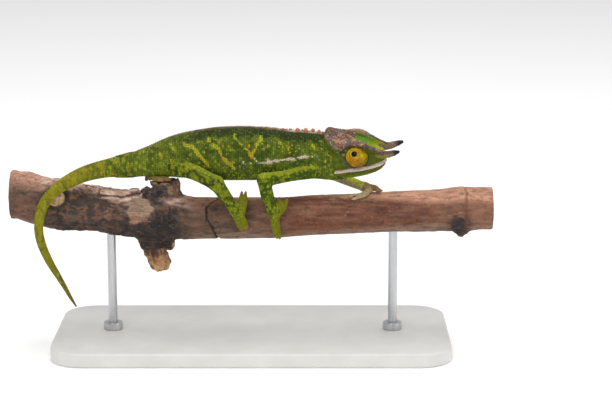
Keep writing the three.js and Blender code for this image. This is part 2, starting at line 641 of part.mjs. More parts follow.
// Perch with a pocket for each rod, and the stand.
const rodXs = [-ROD.spacing / 2, ROD.spacing / 2];
const undersideZ = (x) => {
  const [, middle, radius] = station(BRANCH_STATIONS, x);
  return middle - radius;
};
const rodTopZ = (x) => undersideZ(x) + ROD.socketDepth;
const rodBottomZ = BASE.height - ROD.socketDepth;
const pockets = rodXs.map((x) => cylinder(x, undersideZ(x) - 5, rodTopZ(x) + GAP, ROD.radius + GAP));
put('perch_branch', without(perch(0), pockets), COLOURS.bark, 0.85);
const baseHoles = rodXs.map((x) => cylinder(x, rodBottomZ - GAP, BASE.height + 1, ROD.radius + GAP));
put('stand_base', without(baseBlock(), baseHoles), COLOURS.base, 0.5);
rodXs.forEach((x, i) => {
  const name = i === 0 ? 'rear' : 'front';
  put(`stand_rod_${name}`, cylinder(x, rodBottomZ, rodTopZ(x), ROD.radius), COLOURS.steel, 0.3, 1);
  const collarBottom = BASE.height + GAP;
  const ring = cylinder(x, collarBottom, collarBottom + ROD.collarHeight, ROD.collarRadius);
  const bore = cylinder(x, collarBottom - 1, collarBottom + ROD.collarHeight + 1, ROD.radius + GAP);
  put(`stand_collar_${name}`, without(ring, [bore]), COLOURS.steel, 0.3, 1);
});

export default model;
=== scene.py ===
"""Looks of a life-size chameleon that walks along a cut branch on a display stand.

One skin covers the whole animal and lies just inside the CAD solids. Over it stand more than
twenty thousand small scales, each a closed dome. Eyes, horns, claws, crest, branch and stand are
pieces of their own. Shapes are worked out in millimetres in the CAD frame (+X forwards, +Z up, the
animal's right side towards -Y) and turned into metres where a mesh is made.
"""

import itertools
import math

import bpy
import numpy as np
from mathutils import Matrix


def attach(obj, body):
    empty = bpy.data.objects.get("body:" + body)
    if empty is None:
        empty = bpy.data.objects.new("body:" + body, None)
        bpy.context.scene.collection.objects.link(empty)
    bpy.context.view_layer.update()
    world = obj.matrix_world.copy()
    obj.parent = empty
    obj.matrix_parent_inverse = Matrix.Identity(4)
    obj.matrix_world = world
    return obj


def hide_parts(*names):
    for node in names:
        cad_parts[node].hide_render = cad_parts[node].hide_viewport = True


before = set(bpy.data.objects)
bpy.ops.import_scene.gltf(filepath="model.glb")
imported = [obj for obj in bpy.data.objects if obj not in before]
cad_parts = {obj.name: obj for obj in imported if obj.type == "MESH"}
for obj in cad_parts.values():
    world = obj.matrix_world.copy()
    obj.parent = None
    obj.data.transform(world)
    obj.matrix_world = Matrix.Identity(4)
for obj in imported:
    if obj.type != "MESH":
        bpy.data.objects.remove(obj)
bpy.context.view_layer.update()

import openvdb
from mathutils import Matrix, Vector
from mathutils.kdtree import KDTree

MM = 0.001

# ---------------------------------------------------------------- dimensions, millimetres

SKIN_CELL = 0.33  # spacing of the grid that the skin is shaped on
HEAD_CELL = 0.25
BARK_CELL = 0.42
COAT_DEPTH = 0.15  # how far the skin lies inside the CAD surface, for the scales to fill
FAR = 3.0  # distances on the grids are not followed further than this
PATH_STEPS = 8  # samples between two points of a path
NOISE_SIZE = 24  # random values along each side of a lattice
OWNER_DEPTH = 0.3  # how far below the skin the number of a place's part is looked up
SIDES = {-1: "right", 1: "left"}
SEED = 11

# The head is shaped level in its own frame, then rolled and turned about its pivot.
HEAD_PIVOT = np.array([37.2, 0, 67.7])
HEAD_TURN = np.array(
    Matrix.Rotation(math.radians(14), 3, "X") @ Matrix.Rotation(math.radians(-11), 3, "Z")
)

# Trunk and neck: x, top of the back, belly line, half width, sideways shift.
BODY_STATIONS = [
    (-47.5, 67.8, 60.6, 3.3, -0.4),
    (-42.9, 69.1, 60.5, 3.9, -0.1),
    (-37.2, 71.25, 60.7, 4.5, 0),
    (-30.5, 74.25, 60.8, 5.0, 0),
    (-25.2, 76.1, 60.4, 5.3, 0),
    (-18.1, 77.5, 59.9, 5.6, 0),
    (-11.1, 78.4, 59.5, 5.8, 0),
    (-2.3, 78.6, 59.5, 5.9, 0),
    (6.5, 78.1, 59.5, 5.8, 0),
    (13.5, 77.4, 59.7, 5.5, 0),
    (18.8, 77.0, 60.0, 5.1, 0.2),
    (23.3, 76.5, 59.8, 4.8, 0.6),
    (27.5, 75.8, 59.3, 4.7, 1.2),
    (32.5, 74.6, 59.6, 4.6, 1.4),
]
HIP_X = -42.9
HIP_LENGTH = 16  # over which the section turns from round to narrow-backed
OUTLINE_SIDES = 44

# Tail centre line: x, y, z, radius.
TAIL_PATH = [
    (-37.0, 0, 66.0, 5.3),
    (-42.9, -0.1, 64.8, 4.33),
    (-49.9, -1, 63.9, 3.4),
    (-54.6, -3, 63.3, 3.04),
    (-59.3, -6, 62.3, 2.76),
    (-64.3, -9.6, 60.3, 2.44),
    (-67.5, -10.9, 58.4, 2.12),
    (-70.5, -11.5, 55.4, 1.98),
    (-72.9, -11.6, 51.3, 1.88),
    (-74.0, -11.5, 47.0, 1.7),
    (-74.2, -11, 42.6, 1.65),
    (-73.2, -10, 37.4, 1.58),
    (-71.1, -8.5, 31.6, 1.42),
    (-68.8, -7.4, 27.0, 1.2),
    (-66.5, -6.4, 22.4, 0.96),
    (-64.3, -5.4, 17.7, 0.71),
    (-62.5, -4.8, 14.4, 0.42),
]
TAIL_WIDTH = 0.9  # width over height

# Skull: x, middle of the crown, chin, half width, rise of the crown towards the brows.
SKULL_STATIONS = [
    (-12.0, 5.6, -7.4, 3.6, 0.2),
    (-9.5, 7.4, -8.6, 4.7, 0.6),
    (-6.5, 7.0, -8.7, 5.1, 1.0),
    (-3.0, 6.4, -8.1, 5.1, 1.9),
    (0.5, 5.9, -7.2, 5.1, 2.5),
    (4.0, 4.7, -6.1, 4.6, 2.1),
    (7.0, 3.7, -4.8, 3.9, 1.5),
    (8.9, 2.8, -3.5, 3.0, 1.1),
    (9.9, 1.5, -2.1, 1.7, 0.2),
]
MOUTH = {"rear": (-7.6, -5.2), "front": (11.0, -0.9), "sag": -0.5}  # x and z of its ends

# Ridges of the left side of the head: x, y, z, radius. The right side mirrors them.
BROW_RIDGE = [
    (-10.0, 0.9, 8.7, 1.3),
    (-7.8, 3.4, 7.5, 1.2),
    (-4.8, 4.5, 7.0, 1.15),
    (-1.8, 4.7, 7.4, 1.2),
    (0.8, 4.7, 7.3, 1.2),
    (4.0, 4.4, 5.8, 1.15),
    (7.0, 3.9, 4.7, 1.05),
    (9.4, 3.7, 4.1, 0.9),
    (11.2, 3.9, 4.0, 0.5),
]
CASQUE_EDGE = [
    (-10.0, 0.6, 8.9, 1.1),
    (-10.7, 2.6, 7.3, 0.95),
    (-9.8, 4.1, 5.6, 0.9),
    (-7.6, 4.8, 4.3, 0.85),
    (-4.8, 4.9, 3.6, 0.7),
]
CASQUE_ROOF = [(-10.2, 0, 8.6, 1.5), (-7.0, 0, 7.2, 1.7), (-3.0, 0, 6.2, 1.5)]
HORN = [
    (7.4, 3.2, 3.0, 1.5),
    (9.8, 3.7, 3.3, 1.5),
    (12.0, 4.1, 3.9, 1.3),
    (13.8, 4.3, 4.6, 1.1),
    (15.0, 4.4, 5.1, 0.75),
]
HORN_FLATNESS = 0.52
HORN_CELL = 0.17
# Balls that round out or hollow the left side of the head: centre, radii, softness of the join.
SNOUT = ((8.7, 0, -0.35), (1.75, 1.9, 1.75), 1.0)
CHEEK = ((-6.2, 3.3, -1.6), (3.0, 2.0, 4.0), 1.5)
NOSTRIL = ((7.4, 3.95, 0.8), (0.55, 0.6, 0.42), 0.3)

EYE = {"ahead": 0.5, "side": 3.8, "height": 1.9, "radius": 3.9}
GAZE = {-1: (-0.15, -0.8, 0.58), 1: (0.3, 0.92, 0.22)}
SOCKET_FLOOR = (3.3, 4.8)  # how near the middle plane the hollow for the eye reaches, low and high
LID_RADIUS = 3.82
LID_HOLLOW = 0.86  # inside over outside
LID_RINGS, LID_SIDES = 22, 64
LID_EDGE = math.radians(118)  # how far the lid reaches round from the gaze
LID_RIM_RADIUS = 1.35
LID_LIP = [(1.11, 3.44), (1.10, 3.66), (1.15, 3.75), (1.24, 3.74)]  # radius, height along the gaze
EYEBALL = {"radius": 1.75, "height": 2.15, "rings": 30, "sides": 48}
PUPIL_RADIUS = 1.05

# Legs as chains of x, y, z, radius, with two bundles of two toes each.
LEGS = {
    "front_right": {
        "upper": [(21.9, -3.0, 63.1, 2.6), (13.5, -6.4, 62.2, 2.15), (4.5, -9.0, 61.1, 2.4)],
        "lower": [(4.5, -9.0, 61.1, 2.4), (5.6, -9.8, 55.8, 2.35), (7.6, -10.2, 50.6, 2.0)],
        "foot": [(7.4, -10.0, 51.0, 1.9), (8.0, -9.8, 48.6, 1.9)],
        "toes": [
            [(7.4, -9.8, 48.6, 1.3), (8.0, -9.3, 44.2, 1.1), (8.7, -6.9, 40.6, 0.85)],
            [(8.5, -9.7, 48.4, 1.3), (9.1, -9.0, 44.4, 1.1), (9.7, -6.6, 40.4, 0.85)],
            [(8.3, -9.9, 49.1, 1.25), (9.4, -9.5, 51.6, 1.1), (9.7, -7.8, 53.5, 0.85)],
            [(8.8, -9.7, 48.6, 1.25), (11.2, -9.3, 51.2, 1.1), (12.2, -7.8, 53.4, 0.85)],
        ],
        "claws": [(9.0, -5.0, 39.4), (9.9, -4.7, 39.2), (9.9, -6.2, 54.5), (12.3, -6.2, 54.5)],
    },
    "hind_right": {
        "upper": [(-26.7, -3.0, 65.0, 3.1), (-19.4, -6.4, 63.0, 2.65), (-12.2, -8.6, 59.8, 2.6)],
        "lower": [(-12.2, -8.6, 59.8, 2.6), (-8.5, -9.6, 54.7, 2.2), (-5.5, -10.2, 50.4, 1.9)],
        "foot": [(-5.5, -10.1, 50.6, 1.9), (-4.6, -9.9, 48.8, 1.95)],
        "toes": [
            [(-5.2, -9.8, 48.6, 1.45), (-4.3, -9.7, 45.8, 1.3), (-3.5, -8.9, 43.9, 1.1)],
            [(-4.2, -9.8, 49.0, 1.45), (-2.7, -9.5, 46.4, 1.3), (-2.0, -8.7, 44.4, 1.1)],
            [(-4.3, -9.7, 49.6, 1.25), (-3.8, -8.4, 52.7, 1.1), (-3.5, -5.8, 55.0, 0.8)],
            [(-3.4, -9.7, 49.4, 1.25), (-2.4, -8.4, 52.5, 1.1), (-2.2, -5.8, 54.9, 0.8)],
        ],
        "claws": [(-3.4, -8.1, 42.6), (-1.8, -7.9, 43.1), (-3.5, -4.2, 56.2), (-2.0, -4.2, 56.2)],
    },
    "front_left": {
        "upper": [(21.2, 2.8, 62.6, 2.4), (24.6, 8.6, 61.4, 2.0), (28.5, 13.0, 58.9, 1.95)],
        "lower": [(28.5, 13.0, 58.9, 2.05), (34.6, 8.2, 57.3, 1.9), (40.2, 3.0, 56.1, 1.65)],
        "foot": [(39.9, 3.3, 56.2, 1.6), (41.6, 1.4, 56.0, 1.6)],
        "toes": [
            [(41.9, 1.4, 56.2, 1.35), (43.4, 0.7, 56.3, 1.2), (44.6, -1.5, 56.0, 0.95)],
            [(41.7, 2.0, 55.9, 1.3), (43.4, 2.5, 55.6, 1.15), (45.0, 2.9, 55.2, 0.8)],
            [(41.2, 0.6, 55.4, 1.15), (39.0, -2.0, 54.65, 0.85), (35.6, -2.7, 54.2, 0.7)],
            [(41.6, 0.2, 55.3, 1.15), (39.8, -3.1, 54.2, 0.85), (36.6, -4.1, 53.6, 0.7)],
        ],
        "claws": [(45.1, -2.9, 55.3), (46.3, 2.9, 54.7), (34.1, -2.9, 53.9), (35.1, -4.4, 53.2)],
    },
    "hind_left": {
        "upper": [(-27.2, 2.8, 64.2, 3.0), (-23.8, 8.6, 63.4, 2.6), (-21.2, 13.6, 62.6, 2.5)],
        "lower": [(-21.2, 13.6, 62.6, 2.5), (-26.6, 9.2, 61.9, 2.1), (-31.6, 5.4, 60.6, 1.8)],
        "foot": [(-31.4, 5.6, 60.6, 1.8), (-32.6, 4.0, 60.2, 1.75)],
        "toes": [
            [(-33.0, 3.8, 60.3, 1.25), (-35.4, 1.2, 60.3, 1.1), (-35.8, -2.0, 60.2, 0.85)],
            [(-33.0, 3.8, 60.1, 1.25), (-36.6, 2.8, 60.2, 1.05), (-37.1, -0.4, 59.8, 0.8)],
            [(-32.4, 3.4, 60.4, 1.25), (-32.2, -1.6, 60.3, 1.1), (-29.6, -4.1, 60.4, 1.0)],
            [(-32.8, 3.2, 60.4, 1.25), (-34.4, -2.2, 60.2, 1.15), (-31.8, -4.6, 60.3, 1.05)],
        ],
        "claws": [(-35.4, -3.3, 60.0), (-37.2, -1.7, 59.3), (-28.0, -4.5, 60.3), (-30.1, -5.4, 60.1)],
    },
}
WEB = {"short": 0.25, "radius": 0.8}  # skin between the two toes of a bundle
CLAW = {"radii": (0.55, 0.42, 0.1), "bow": 0.45, "flatness": 0.8, "sides": 10, "fade": 2.2}

# The larger crest scales of the nape: x, radius, height.
CREST = (
    (8.1, 0.40, 0.35),
    (11.0, 0.45, 0.45),
    (13.5, 0.50, 0.55),
    (16.2, 0.72, 0.95),
    (17.8, 0.50, 0.50),
    (19.1, 0.72, 1.15),
    (21.6, 0.74, 1.10),
    (23.7, 0.66, 0.90),
    (24.9, 0.48, 0.50),
)
CREST_REACH = (-40.0, 28.5)  # x of the first and last of the smaller ones
CREST_SINK = 0.45

# Spacing of the scales, and how many grow loosely on each square millimetre before thinning out.
TRUNK_PITCH = 0.62
TRUNK_ROWS = (-47, 32)  # x of the first row, and where they end
SPREAD_CELL = 1.1  # kept places are looked up by cells of this size
CASQUE_PITCH = 0.58
LID_PITCH = 0.44
LID_SCALES_FROM = 1.4
HORN_SCALES = {"from_x": 8.0, "x": (8, 15), "size": (0.54, 0.44)}
DENSITY = {"head": 34.0, "feet": 45.0, "rest": 9.0, "horns": 40.0}
COAT_SPLIT_X = -9.0  # the trunk's scales are two pieces, behind and ahead of here

# Branch: x, height of its middle, radius. Spur, stub and twig scar: x, y, z, radius.
BRANCH_HALF = 85
BRANCH_STATIONS = [
    (-85, 53.9, 8.5),
    (-71, 51.1, 9.0),
    (-54, 48.9, 8.15),
    (-41, 47.2, 8.3),
    (-31, 46.5, 8.9),
    (-20, 45.6, 7.45),
    (-2, 45.7, 7.35),
    (17, 46.3, 7.1),
    (35, 47.2, 7.1),
    (52, 48.0, 7.25),
    (66, 48.6, 7.5),
    (73.5, 48.8, 7.95),
    (80, 49.0, 7.45),
    (85, 49.0, 7.3),
]
SPUR = [(-31.2, 0, 49, 6.0), (-32.2, 0, 53.8, 6.2), (-30.4, 0, 57.3, 4.5), (-31.3, 0, 59.4, 5.4)]
SPUR_RIM = [(-28.2, -1.0, 56.5, 2.2), (-27.6, -1.0, 60.2, 1.7)]
STUB = [
    (-33.2, 0, 46, 7.4),
    (-34.0, 0, 39, 6.3),
    (-35.3, 0, 35.2, 4.3),
    (-34.2, 0, 32.4, 4.0),
    (-32.9, 0, 29.6, 3.7),
    (-32.7, 0, 27.0, 3.1),
]
TWIG_SCAR = (-68.4, -7.2, 54.7, 3.0)

BASE = {"length": 140, "width": 66, "height": 5, "corner": 12, "bevel": 0.8}
ROD = {"radius": 1.6, "spacing": 100, "socket": 3, "collar_radius": 3.4, "collar_height": 2.4}
CLEAR = 0.25  # gap between the stand's pieces
CORNER_STEPS = 14
BEVEL_STEPS = 4
TURNED_SIDES = 56
SHARP_ANGLE = math.radians(35)

CAMERA = {"target": (19.1, 0, 50.85), "distance": 700, "elevation": 12, "width_at_target": 216.65}
SENSOR_WIDTH = 36
FLOOR_SIZE = 6000
FLOOR_GLOW = 0.12  # makes the floor paler where the lamps' light is weak
WORLD_STRENGTH = 0.55
# Place in metres, size in metres, power in watts.
LIGHTS = [
    ("key", (-0.25, -0.75, 0.95), 0.7, 4.4),
    ("top", (0.1, 0.1, 1.1), 0.9, 5.2),
    ("fill", (0.9, -0.5, 0.45), 0.6, 1.2),
]


# ---------------------------------------------------------------- curves and noise


def hermite(t, start, end, slope_in, slope_out):
    t2 = t * t
    t3 = t2 * t
    return (
        (2 * t3 - 3 * t2 + 1) * start
        + (t3 - 2 * t2 + t) * slope_in
        + (3 * t2 - 2 * t3) * end
        + (t3 - t2) * slope_out
    )


def station(table, x):
    """Smooth values at the places x between the rows of a table sorted by its first column."""
    table = np.asarray(table, float)
    x = np.atleast_1d(x).astype(float)
    last = len(table) - 1
    k = np.searchsorted(table[1:last, 0], x, side="left")
    here, beyond = table[k], table[k + 1]
    before, after = table[np.maximum(k - 1, 0)], table[np.minimum(k + 2, last)]
    t = np.clip((x - here[:, 0]) / (beyond[:, 0] - here[:, 0]), 0, 1)[:, None]
    return hermite(t, here, beyond, (beyond - before) / 2, (after - here) / 2)


def smooth_path(path):
    """Points and radii on a centripetal Catmull-Rom curve through rows of x, y, z, radius."""
    rows = np.asarray(path, float)
    spans = len(rows) - 1
    points = np.vstack([2 * rows[0, :3] - rows[1, :3], rows[:, :3], 2 * rows[-1, :3] - rows[-2, :3]])
    t = np.linspace(0, spans, spans * PATH_STEPS + 1)
    i = np.minimum(t.astype(int), spans - 1)
    p0, p1, p2, p3 = (points[i + j] for j in range(4))
    d0, d1, d2 = (
        np.sqrt(np.linalg.norm(b - a, axis=1))[:, None] for a, b in ((p0, p1), (p1, p2), (p2, p3))
    )
    slope_in = ((p1 - p0) / d0 - (p2 - p0) / (d0 + d1) + (p2 - p1) / d1) * d1
    slope_out = ((p2 - p1) / d1 - (p3 - p1) / (d1 + d2) + (p3 - p2) / d2) * d1
    centres = hermite((t - i)[:, None], p1, p2, slope_in, slope_out)
    radii = station(np.column_stack([np.arange(spans + 1), rows[:, 3]]), t)[:, 1]
    return centres, radii


def mirrored(path, side):
    return [(row[0], row[1] * side, *row[2:]) for row in path]


def smoothstep(low, high, value):
    t = np.clip((value - low) / (high - low), 0, 1)
    return t * t * (3 - 2 * t)


def bump(value, width):
    """1 where the value is 0, falling softly to nothing over about twice the width."""
    return np.exp(-((value / width) ** 2))


def interpolated(values, cell, share):
    """Values between the places of a grid, of which cell is the whole and share the broken part."""
    total = 0
    for corner in range(8):
        bits = [(corner >> axis) & 1 for axis in range(3)]
        weight = np.prod([share[..., a] if bits[a] else 1 - share[..., a] for a in range(3)], axis=0)
        at = tuple((cell[..., a] + bits[a]) % values.shape[a] for a in range(3))
        total = total + weight * values[at]
    return total


_lattices = {}


def noise(points, size, seed=0, octaves=1):
    """Smooth random values from about -1 to 1 at points, with features of the given size."""
    points = np.asarray(points, float)
    total = np.zeros(points.shape[:-1])
    for octave in range(octaves):
        key = seed * 10 + octave
        if key not in _lattices:
            _lattices[key] = np.random.default_rng(key).uniform(-1, 1, (NOISE_SIZE,) * 3)
        q = points / size * 2**octave + 7.3 * octave
        cell = np.floor(q).astype(int)
        share = q - cell
        total += interpolated(_lattices[key], cell, share * share * (3 - 2 * share)) * 0.5**octave
    return total * 1.4


# ---------------------------------------------------------------- distance fields


def smooth_min(a, b, blend):
    h = np.maximum(blend - np.abs(a - b), 0) / blend
    return np.minimum(a, b) - h * h * blend / 4


def cone_distance(x, y, z, start, end, radius_start, radius_end, squeeze):
    """Distance to a rounded cone whose width along y is squeezed."""
    axis = (end - start) / (1, squeeze, 1)
    px, py, pz = x - start[0], (y - start[1]) / squeeze, z - start[2]
    t = np.clip((px * axis[0] + py * axis[1] + pz * axis[2]) / (axis @ axis), 0, 1)
    away = (px - t * axis[0]) ** 2 + (py - t * axis[1]) ** 2 + (pz - t * axis[2]) ** 2
    return np.sqrt(away) - radius_start - t * (radius_end - radius_start)


def polygon_distance(outline, y, z):
    """Signed distance from places y, z to a closed outline."""
    ay, az = outline[:, 0, None, None], outline[:, 1, None, None]
    edge = np.roll(outline, -1, 0) - outline
    ey, ez = edge[:, 0, None, None], edge[:, 1, None, None]
    py, pz = y - ay, z - az
    t = np.clip((py * ey + pz * ez) / (ey * ey + ez * ez), 0, 1)
    away = np.sqrt(np.min((py - t * ey) ** 2 + (pz - t * ez) ** 2, axis=0))
    level = np.where(np.abs(ez) < 1e-9, 1e-9, ez)
    crossed = ((az > z) != (az + ez > z)) & (y < ey * (z - az) / level + ay)
    return np.where(crossed.sum(0) % 2 == 1, -away, away)


class Field:
    """Distances to a surface on a regular grid, with the number of the part nearest each place."""

    def __init__(self, low, high, cell):
        self.low = np.array(low, float)
        self.cell = cell
        self.count = np.ceil((np.array(high) - self.low) / cell).astype(int) + 1
        self.value = np.full(self.count, FAR, np.float32)
        self.owner = np.zeros(self.count, np.int16)

    def coordinates(self, first, stop, sparse=True):
        axes = [self.low[n] + self.cell * np.arange(first[n], stop[n]) for n in range(3)]
        return np.meshgrid(*axes, indexing="ij", sparse=sparse)

    def grid(self, sparse=True):
        """Coordinates of every place."""
        return self.coordinates((0, 0, 0), self.count, sparse)

    def block(self, low, high):
        """The part of the grid between two corners, as slices and as coordinates."""
        first = np.clip(np.floor((low - self.low) / self.cell), 0, self.count - 1).astype(int)
        stop = np.clip(np.ceil((high - self.low) / self.cell) + 1, 1, self.count).astype(int)
        return tuple(slice(a, b) for a, b in zip(first, stop)), self.coordinates(first, stop)

    def add(self, block, distance, blend, owner=0):
        here = self.value[block]
        self.owner[block] = np.where(distance < here, owner, self.owner[block])
        self.value[block] = smooth_min(here, distance, blend)

    def cut(self, block, distance, blend):
        self.value[block] = -smooth_min(-self.value[block], distance, blend)

    def add_tube(self, path, blend, owner=0, squeeze=1.0):
        centres, radii = smooth_path(path)
        reach = radii.max() + FAR
        whole, places = self.block(centres.min(0) - reach, centres.max(0) + reach)
        local = np.full([axis.size for axis in places], FAR)
        for i in range(len(radii) - 1):
            ends = centres[i : i + 2]
            reach = radii[i : i + 2].max() + FAR
            block, (x, y, z) = self.block(ends.min(0) - reach, ends.max(0) + reach)
            inner = tuple(slice(b.start - w.start, b.stop - w.start) for b, w in zip(block, whole))
            distance = cone_distance(x, y, z, *ends, *radii[i : i + 2], squeeze)
            local[inner] = np.minimum(local[inner], distance)
        self.add(whole, local, blend, owner)

    def add_ball(self, centre, radii, blend, owner=0):
        """A ball or, with three radii, roughly an ellipsoid."""
        block, _, distance = self.ball(centre, radii)
        self.add(block, distance, blend, owner)

    def cut_ball(self, centre, radii, blend):
        block, _, distance = self.ball(centre, radii)
        self.cut(block, distance, blend)

    def ball(self, centre, radii):
        centre, radii = np.array(centre, float), np.broadcast_to(radii, 3)
        block, places = self.block(centre - radii - FAR, centre + radii + FAR)
        p = [(axis - c) / r for axis, c, r in zip(places, centre, radii)]
        q = [axis / r for axis, r in zip(p, radii)]
        length = np.sqrt(sum(a * a for a in p))
        slope = np.sqrt(sum(a * a for a in q)) + 1e-6
        return block, places, length * (length - 1) / slope

    def add_stump(self, ends, blend):
        """A slightly three-lobed cone with level ends, between two rows of x, y, z, radius."""
        a, b = np.array(ends, float)
        margin = 8 + FAR
        low, high = np.minimum(a[:3], b[:3]) - margin, np.maximum(a[:3], b[:3]) + margin
        block, (x, y, z) = self.block(low, high)
        t = np.clip((z - a[2]) / (b[2] - a[2]), 0, 1)
        px, py = x - (a[0] + t * (b[0] - a[0])), y - (a[1] + t * (b[1] - a[1]))
        lobes = 1 + 0.06 * np.sin(3 * np.arctan2(py, px) + z * 0.4)
        across = np.hypot(px, py) - (a[3] + t * (b[3] - a[3])) * lobes
        lower, upper = sorted((a[2], b[2]))
        level = np.maximum(lower - z, z - upper)
        self.add(block, np.minimum(np.maximum(across, level), FAR), blend)

    def add_sections(self, outline_at, low, high, blend, owner=0):
        """A body given by its outline in the y, z plane at every x, flat at both ends."""
        low, high = np.array(low, float), np.array(high, float)
        block, (x, y, z) = self.block(low - FAR, high + FAR)
        distance = np.empty((x.size, y.size, z.size))
        for n, place in enumerate(np.clip(x.ravel(), low[0], high[0])):
            distance[n] = polygon_distance(outline_at(place), y[0], z[0])
        slope = np.gradient(distance, self.cell, axis=0)
        distance /= np.sqrt(1 + slope * slope)
        distance = np.maximum(distance, np.maximum(low[0] - x, x - high[0]))
        self.add(block, np.minimum(distance, FAR), blend, owner)

    def sample(self, points):
        q = np.clip((points - self.low) / self.cell, 0, self.count - 1.001)
        cell = np.floor(q).astype(int)
        return interpolated(self.value, cell, q - cell)

    def owner_at(self, points):
        """Number of the part that lies just under each place of the surface."""
        inside = points - self.normal(points) * OWNER_DEPTH
        i = np.clip(np.rint((inside - self.low) / self.cell), 0, self.count - 1).astype(int)
        return self.owner[tuple(i.T)]

    def normal(self, points):
        steps = self.cell * 0.75 * np.eye(3)
        slope = [self.sample(points + along) - self.sample(points - along) for along in steps]
        slope = np.stack(slope, axis=-1)
        return slope / (np.linalg.norm(slope, axis=-1, keepdims=True) + 1e-9)

    def project(self, points, level, steps=4):
        """Moves points onto the surface at the given level."""
        for _ in range(steps):
            points = points - self.normal(points) * (self.sample(points) - level)[..., None]
        return points

    def surface(self, level):
        """Points and outward quads of the surface at the given level."""
        grid = openvdb.FloatGrid(FAR)
        grid.copyFromArray(np.ascontiguousarray(self.value - level, dtype=np.float32))
        points, quads = grid.convertToQuads(0.0)
        points = self.low + self.cell * points
        a, b, c, d = (points[quads[:, n]] for n in range(4))
        volume = np.einsum("ij,ij->", np.cross(c - a, d - b), (a + c) / 2)
        return points, quads if volume > 0 else quads[:, ::-1]


# ---------------------------------------------------------------- the animal's shape


def mouth_height(x):
    """Height of the slit of the mouth at x, in the head's frame."""
    (rear_x, rear_z), (front_x, front_z) = MOUTH["rear"], MOUTH["front"]
    t = np.clip((x - rear_x) / (front_x - rear_x), 0, 1)
    return rear_z + (front_z - rear_z) * t + MOUTH["sag"] * np.sin(np.pi * t)


def body_outline(x, sides=OUTLINE_SIDES):
    _, top, bottom, half_width, shift = station(BODY_STATIONS, x)[0]
    angle = np.linspace(0, 2 * np.pi, sides, endpoint=False)
    cosine, sine = np.cos(angle), np.sin(angle)
    fullness = 1 + smoothstep(HIP_X, HIP_X + HIP_LENGTH, x) * (0.4 * sine - 0.05)
    across = np.sign(cosine) * np.abs(cosine) ** fullness
    return np.column_stack(
        [shift + half_width * across, (top + bottom) / 2 + (top - bottom) / 2 * sine]
    )


def skull_outline(x):
    _, crown, chin, half_width, brow = station(SKULL_STATIONS, x)[0]
    angle = np.linspace(0, 2 * np.pi, OUTLINE_SIDES, endpoint=False)
    cosine, sine = np.cos(angle), np.sin(angle)
    across = np.sign(cosine) * np.abs(cosine) ** np.where(sine > 0, 0.4, 0.8)
    crown_rise = crown * np.abs(sine) ** 0.6 + brow * 2 * sine * cosine**2
    rise = np.where(sine > 0, crown_rise, chin * np.abs(sine) ** 0.9)
    return np.column_stack([half_width * across, rise])


def eye_centre(side):
    return np.array([EYE["ahead"], EYE["side"] * side, EYE["height"]])


def from_eye(x, z):
    """Distance from the rim of the eye, seen from the side, in the head's frame."""
    return np.sqrt((x - EYE["ahead"]) ** 2 + (z - EYE["height"]) ** 2) - EYE["radius"]


def to_world(points):
    return points @ HEAD_TURN.T + HEAD_PIVOT


def to_head(points):
    return (points - HEAD_PIVOT) @ HEAD_TURN


def shape_head():
    """The head in its own frame, with ridges, sockets, cheeks, lips and nostrils."""
    field = Field((-15, -8.6, -12), (13, 8.6, 13), HEAD_CELL)
    field.add_sections(skull_outline, (-12.2, -7, -11), (9.7, 7, 11), 0.5)
    field.add_ball(*SNOUT)
    field.add_tube(CASQUE_ROOF, 1.2)
    for side in SIDES:
        field.add_tube(mirrored(BROW_RIDGE, side), 0.8)
        field.add_tube(mirrored(CASQUE_EDGE, side), 0.8)
        field.add_ball(*mirrored(CHEEK[:1], side), *CHEEK[1:])
        shape_socket(field, side)
        field.cut_ball(*mirrored(NOSTRIL[:1], side), *NOSTRIL[1:])
    x, y, z = field.grid()
    above_slit = z - mouth_height(x)
    along = smoothstep(-8.2, -7.2, x) * smoothstep(11.5, 10.2, x)
    lips = 0.24 * bump(above_slit - 0.55, 0.45) + 0.16 * bump(above_slit + 0.6, 0.45)
    slit = 0.3 * bump(above_slit, 0.2)
    field.value += (along * (slit - lips)).astype(np.float32)
    fold = 0.22 * bump(from_eye(x, z) - 0.7, 0.45) * smoothstep(1.5, -1.5, z - EYE["height"])
    for side in SIDES:
        field.value -= (fold * (y * side > 1)).astype(np.float32)
    return field


def shape_socket(field, side):
    """The hollow for one eye, under a roof that joins it to the brow ridge."""
    block, (_, y, z), distance = field.ball(eye_centre(side), LID_RADIUS)
    y = y * side
    roof = np.maximum(distance - 0.6, np.maximum(y - 4.4, 3.0 - z))
    field.add(block, roof, 0.6)
    low, high = SOCKET_FLOOR
    floor = low + (high - low) * smoothstep(1.5, 4.2, z)
    field.cut(block, np.maximum(distance - 0.05, floor - y), 0.25)


PARTS = ["trunk", "tail", "head"]
PARTS += [f"{leg}_{part}" for leg in LEGS for part in ("upper", "lower", "foot")]
PARTS += [f"{leg}_toe_{n}" for leg in LEGS for n in range(4)]
PART = {name: n for n, name in enumerate(PARTS)}


def is_foot(part):
    return "foot" in part or "toe" in part


def by_part(owners):
    """Name of each part among the owners, and which of the places it owns."""
    for number in np.unique(owners):
        yield PARTS[number], owners == number


def branch_middle(x):
    return station(BRANCH_STATIONS, x)[:, 1]


def branch_radius(x, angle):
    """Radius of the branch with the slow swellings of its bark."""
    radius = station(BRANCH_STATIONS, x.ravel())[:, 2].reshape(x.shape)
    return radius * (1 + 0.018 * np.sin(3 * angle + x * 0.11) + 0.012 * np.sin(5 * angle - x * 0.23))


def branch_distance(x, y, z):
    middle = branch_middle(x.ravel()).reshape(x.shape)
    angle = np.arctan2(z - middle, y)
    return np.sqrt(y * y + (z - middle) ** 2) - branch_radius(x + 0 * angle, angle)


